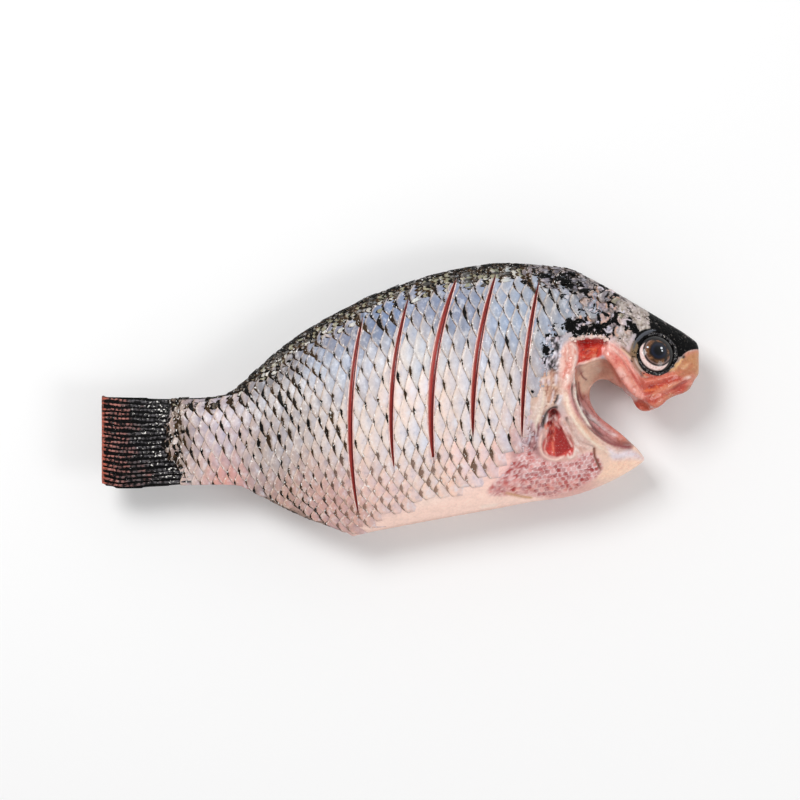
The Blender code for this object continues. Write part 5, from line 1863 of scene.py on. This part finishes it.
def eye_ring(node, side, radius, wide, high, level):
    """A wet lid round the eye: a small round section spun about the eye."""
    bm = bmesh.new()
    section = bmesh.ops.create_circle(bm, segments=10, radius=1.0)["verts"]
    bmesh.ops.scale(bm, vec=(wide, high, 1.0), verts=section)
    bmesh.ops.rotate(bm, verts=section, cent=(0, 0, 0), matrix=Matrix.Rotation(math.pi / 2, 3, "X"))
    bmesh.ops.translate(bm, vec=(radius, 0.0, level), verts=section)
    bmesh.ops.spin(bm, geom=bm.edges[:], axis=(0, 0, 1), cent=(0, 0, 0), steps=64,
                   angle=2 * math.pi, use_merge=True)
    for vert in bm.verts:
        round_about = math.atan2(vert.co.y, vert.co.x)
        vert.co *= 1.0 + 0.014 * math.sin(3 * round_about + 1) + 0.008 * math.sin(7 * round_about)
        vert.co.z += 0.25 * math.sin(2 * round_about + 0.6)
    bmesh.ops.translate(bm, vec=(*EYE_ASIDE, 0.0), verts=bm.verts)
    bmesh.ops.transform(bm, matrix=eye_place(node, side), verts=bm.verts)
    bmesh.ops.remove_doubles(bm, verts=bm.verts, dist=1e-6)
    bmesh.ops.recalc_face_normals(bm, faces=bm.faces)
    mesh = bpy.data.meshes.new("lid")
    bm.to_mesh(mesh)
    bm.free()
    return mesh


# %% The finish of the eyes
def eye_finish():
    material, recipe, shader = new_material("clear_eye")
    look = recipe.put("UVMap", uv_map="look").outputs[0]
    look = recipe.put("VectorMath", {0: look, "Scale": 10.0}, operation="SCALE").outputs[0]

    def away_from(x, y):
        moved = recipe.put("VectorMath", {0: look, 1: (x, y, 0.0)}, operation="SUBTRACT").outputs[0]
        return recipe.put("VectorMath", {0: moved}, operation="LENGTH").outputs["Value"]

    place = millimetres(recipe)
    grain = recipe.noise(place, 1.2, 3.0, 0.6)
    broad = recipe.noise(place, 0.35, 2.0, 0.5)
    centre = away_from(-0.7, -0.6)
    ragged = recipe.sum("ADD", centre, recipe.sum("MULTIPLY", recipe.sum("SUBTRACT", grain, 0.5), 0.5))
    white = recipe.blend(recipe.ramp(grain, 0.45, 0.8), lin(242, 218, 212), lin(206, 156, 148))
    base = recipe.blend(recipe.ramp(away_from(-0.9, -1.1), 8.3, 7.7), lin(60, 42, 36), white)
    iris = recipe.blend(recipe.ramp(broad, 0.38, 0.60), lin(112, 74, 46), lin(36, 27, 25))
    # Lighter bronze flecks in the iris, partly its own grain and partly painted highlight.
    iris = recipe.blend(recipe.sum("MULTIPLY", recipe.ramp(grain, 0.56, 0.68), 0.6), iris, lin(170, 124, 90))
    iris = recipe.blend(recipe.sum("MULTIPLY", recipe.ramp(ragged, 5.5, 5.9), 0.6), iris, lin(132, 108, 106))
    base = recipe.blend(recipe.ramp(ragged, 6.7, 6.4), base, iris)
    ring = recipe.sum("MULTIPLY", recipe.ramp(ragged, 6.1, 6.4), recipe.ramp(ragged, 7.2, 6.7))
    base = recipe.blend(recipe.sum("MULTIPLY", ring, 0.95), base, lin(20, 16, 16))
    pupil = recipe.blend(recipe.ramp(centre, 1.6, 3.2), lin(6, 7, 12), lin(26, 30, 46))
    base = recipe.blend(recipe.ramp(centre, 3.9, 3.6), base, pupil)
    halo = recipe.sum("MULTIPLY", recipe.ramp(centre, 3.3, 3.7), recipe.ramp(centre, 4.6, 4.1))
    base = recipe.blend(recipe.sum("MULTIPLY", halo, 0.8), base, lin(20, 18, 22))
    # Painted highlights: four small bluish-white spots of reflected light on the eye.
    for px, py, size in ((0.7, 0.6, 0.75), (0.9, -0.7, 0.5), (-5.6, 1.0, 0.6), (4.2, 4.4, 0.55)):
        base = recipe.blend(recipe.ramp(away_from(px, py), size, size * 0.4), base, lin(226, 232, 240))
    outer = away_from(-2.3, -2.5)
    base = recipe.blend(recipe.ramp(outer, 6.9, 7.4), base, lin(14, 12, 12))
    join(recipe, shader, Base_Color=base, Roughness=0.12, Coat_Weight=0.3, Coat_Roughness=0.03,
         Specular_IOR_Level=0.2)
    return material


def lid_finish():
    material, recipe, shader = new_material("wet_lid")
    place = millimetres(recipe)
    grain = recipe.noise(place, 0.8, 3.0, 0.6)
    base = recipe.blend(recipe.ramp(grain, 0.50, 0.66), lin(14, 14, 15), lin(92, 90, 92))
    # Painted highlight: small pale glints on the wet lid.
    base = recipe.blend(recipe.ramp(recipe.noise(place, 1.3, 2.0), 0.64, 0.70), base, lin(214, 204, 196))
    bump = recipe.put("Bump", {"Strength": 0.6, "Distance": 0.0006, "Height": grain})
    join(recipe, shader, Base_Color=base, Roughness=0.26, Coat_Weight=0.25, Coat_Roughness=0.06,
         Specular_IOR_Level=0.15, Normal=bump.outputs[0])
    return material


clear_eye, wet_lid = eye_finish(), lid_finish()
for node, side in EYE_PIECES:
    ball = add_piece("ball_of_" + node, eye_ball(node, side), clear_eye)
    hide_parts(node)
    add_piece("lid_of_" + node, eye_ring(node, side, 9.3, 0.8, 0.7, 1.9), wet_lid)
    add_piece("fold_of_" + node, eye_ring(node, side, 10.9, 0.55, 0.5, 1.0), wet_lid)

# %% [markdown]
# ## Floor and light
#
# A plain pale floor and soft white light from all round, with one large soft lamp above the tail side,
# show the wet skin without hard shadows.

# %% Floor and light
bm = bmesh.new()
bmesh.ops.create_grid(bm, x_segments=1, y_segments=1, size=3.0)
floor_mesh = bpy.data.meshes.new("floor")
bm.to_mesh(floor_mesh)
bm.free()
floor = bpy.data.objects.new("floor", floor_mesh)
bpy.context.scene.collection.objects.link(floor)
paper, paper_recipe, paper_shader = new_material("pale_paper")
join(paper_recipe, paper_shader, Base_Color=(0.93, 0.93, 0.93, 1.0), Roughness=0.9,
     Specular_IOR_Level=0.1)
floor_mesh.materials.append(paper)

world = bpy.data.worlds.new("studio")
world.use_nodes = True
air = Recipe(world.node_tree)
upward = air.put("SeparateXYZ", {"Vector": air.put("TexCoord").outputs["Generated"]}).outputs["Z"]
brightness = air.sum("ADD", 0.30, air.sum("MULTIPLY", air.ramp(upward, 0.95, 0.25), 0.62))
world.node_tree.links.new(brightness, world.node_tree.nodes["Background"].inputs["Strength"])
world.node_tree.nodes["Background"].inputs["Color"].default_value = (1.0, 1.0, 1.0, 1.0)
bpy.context.scene.world = world


def lamp(name, place, size, power):
    data = bpy.data.lights.new(name, "AREA")
    data.shape = "SQUARE"
    data.size = size
    data.energy = power
    held = bpy.data.objects.new(name, data)
    held.location = place
    held.rotation_euler = (Vector((0.0, 0.0, MIDDLE)) - Vector(place)).to_track_quat("-Z", "Y").to_euler()
    bpy.context.scene.collection.objects.link(held)


lamp("key", (-0.45, 0.55, 1.0), 0.5, 8.0)
lamp("fill", (0.8, -0.3, 0.8), 0.4, 2.6)
bpy.context.scene.view_settings.view_transform = "Standard"
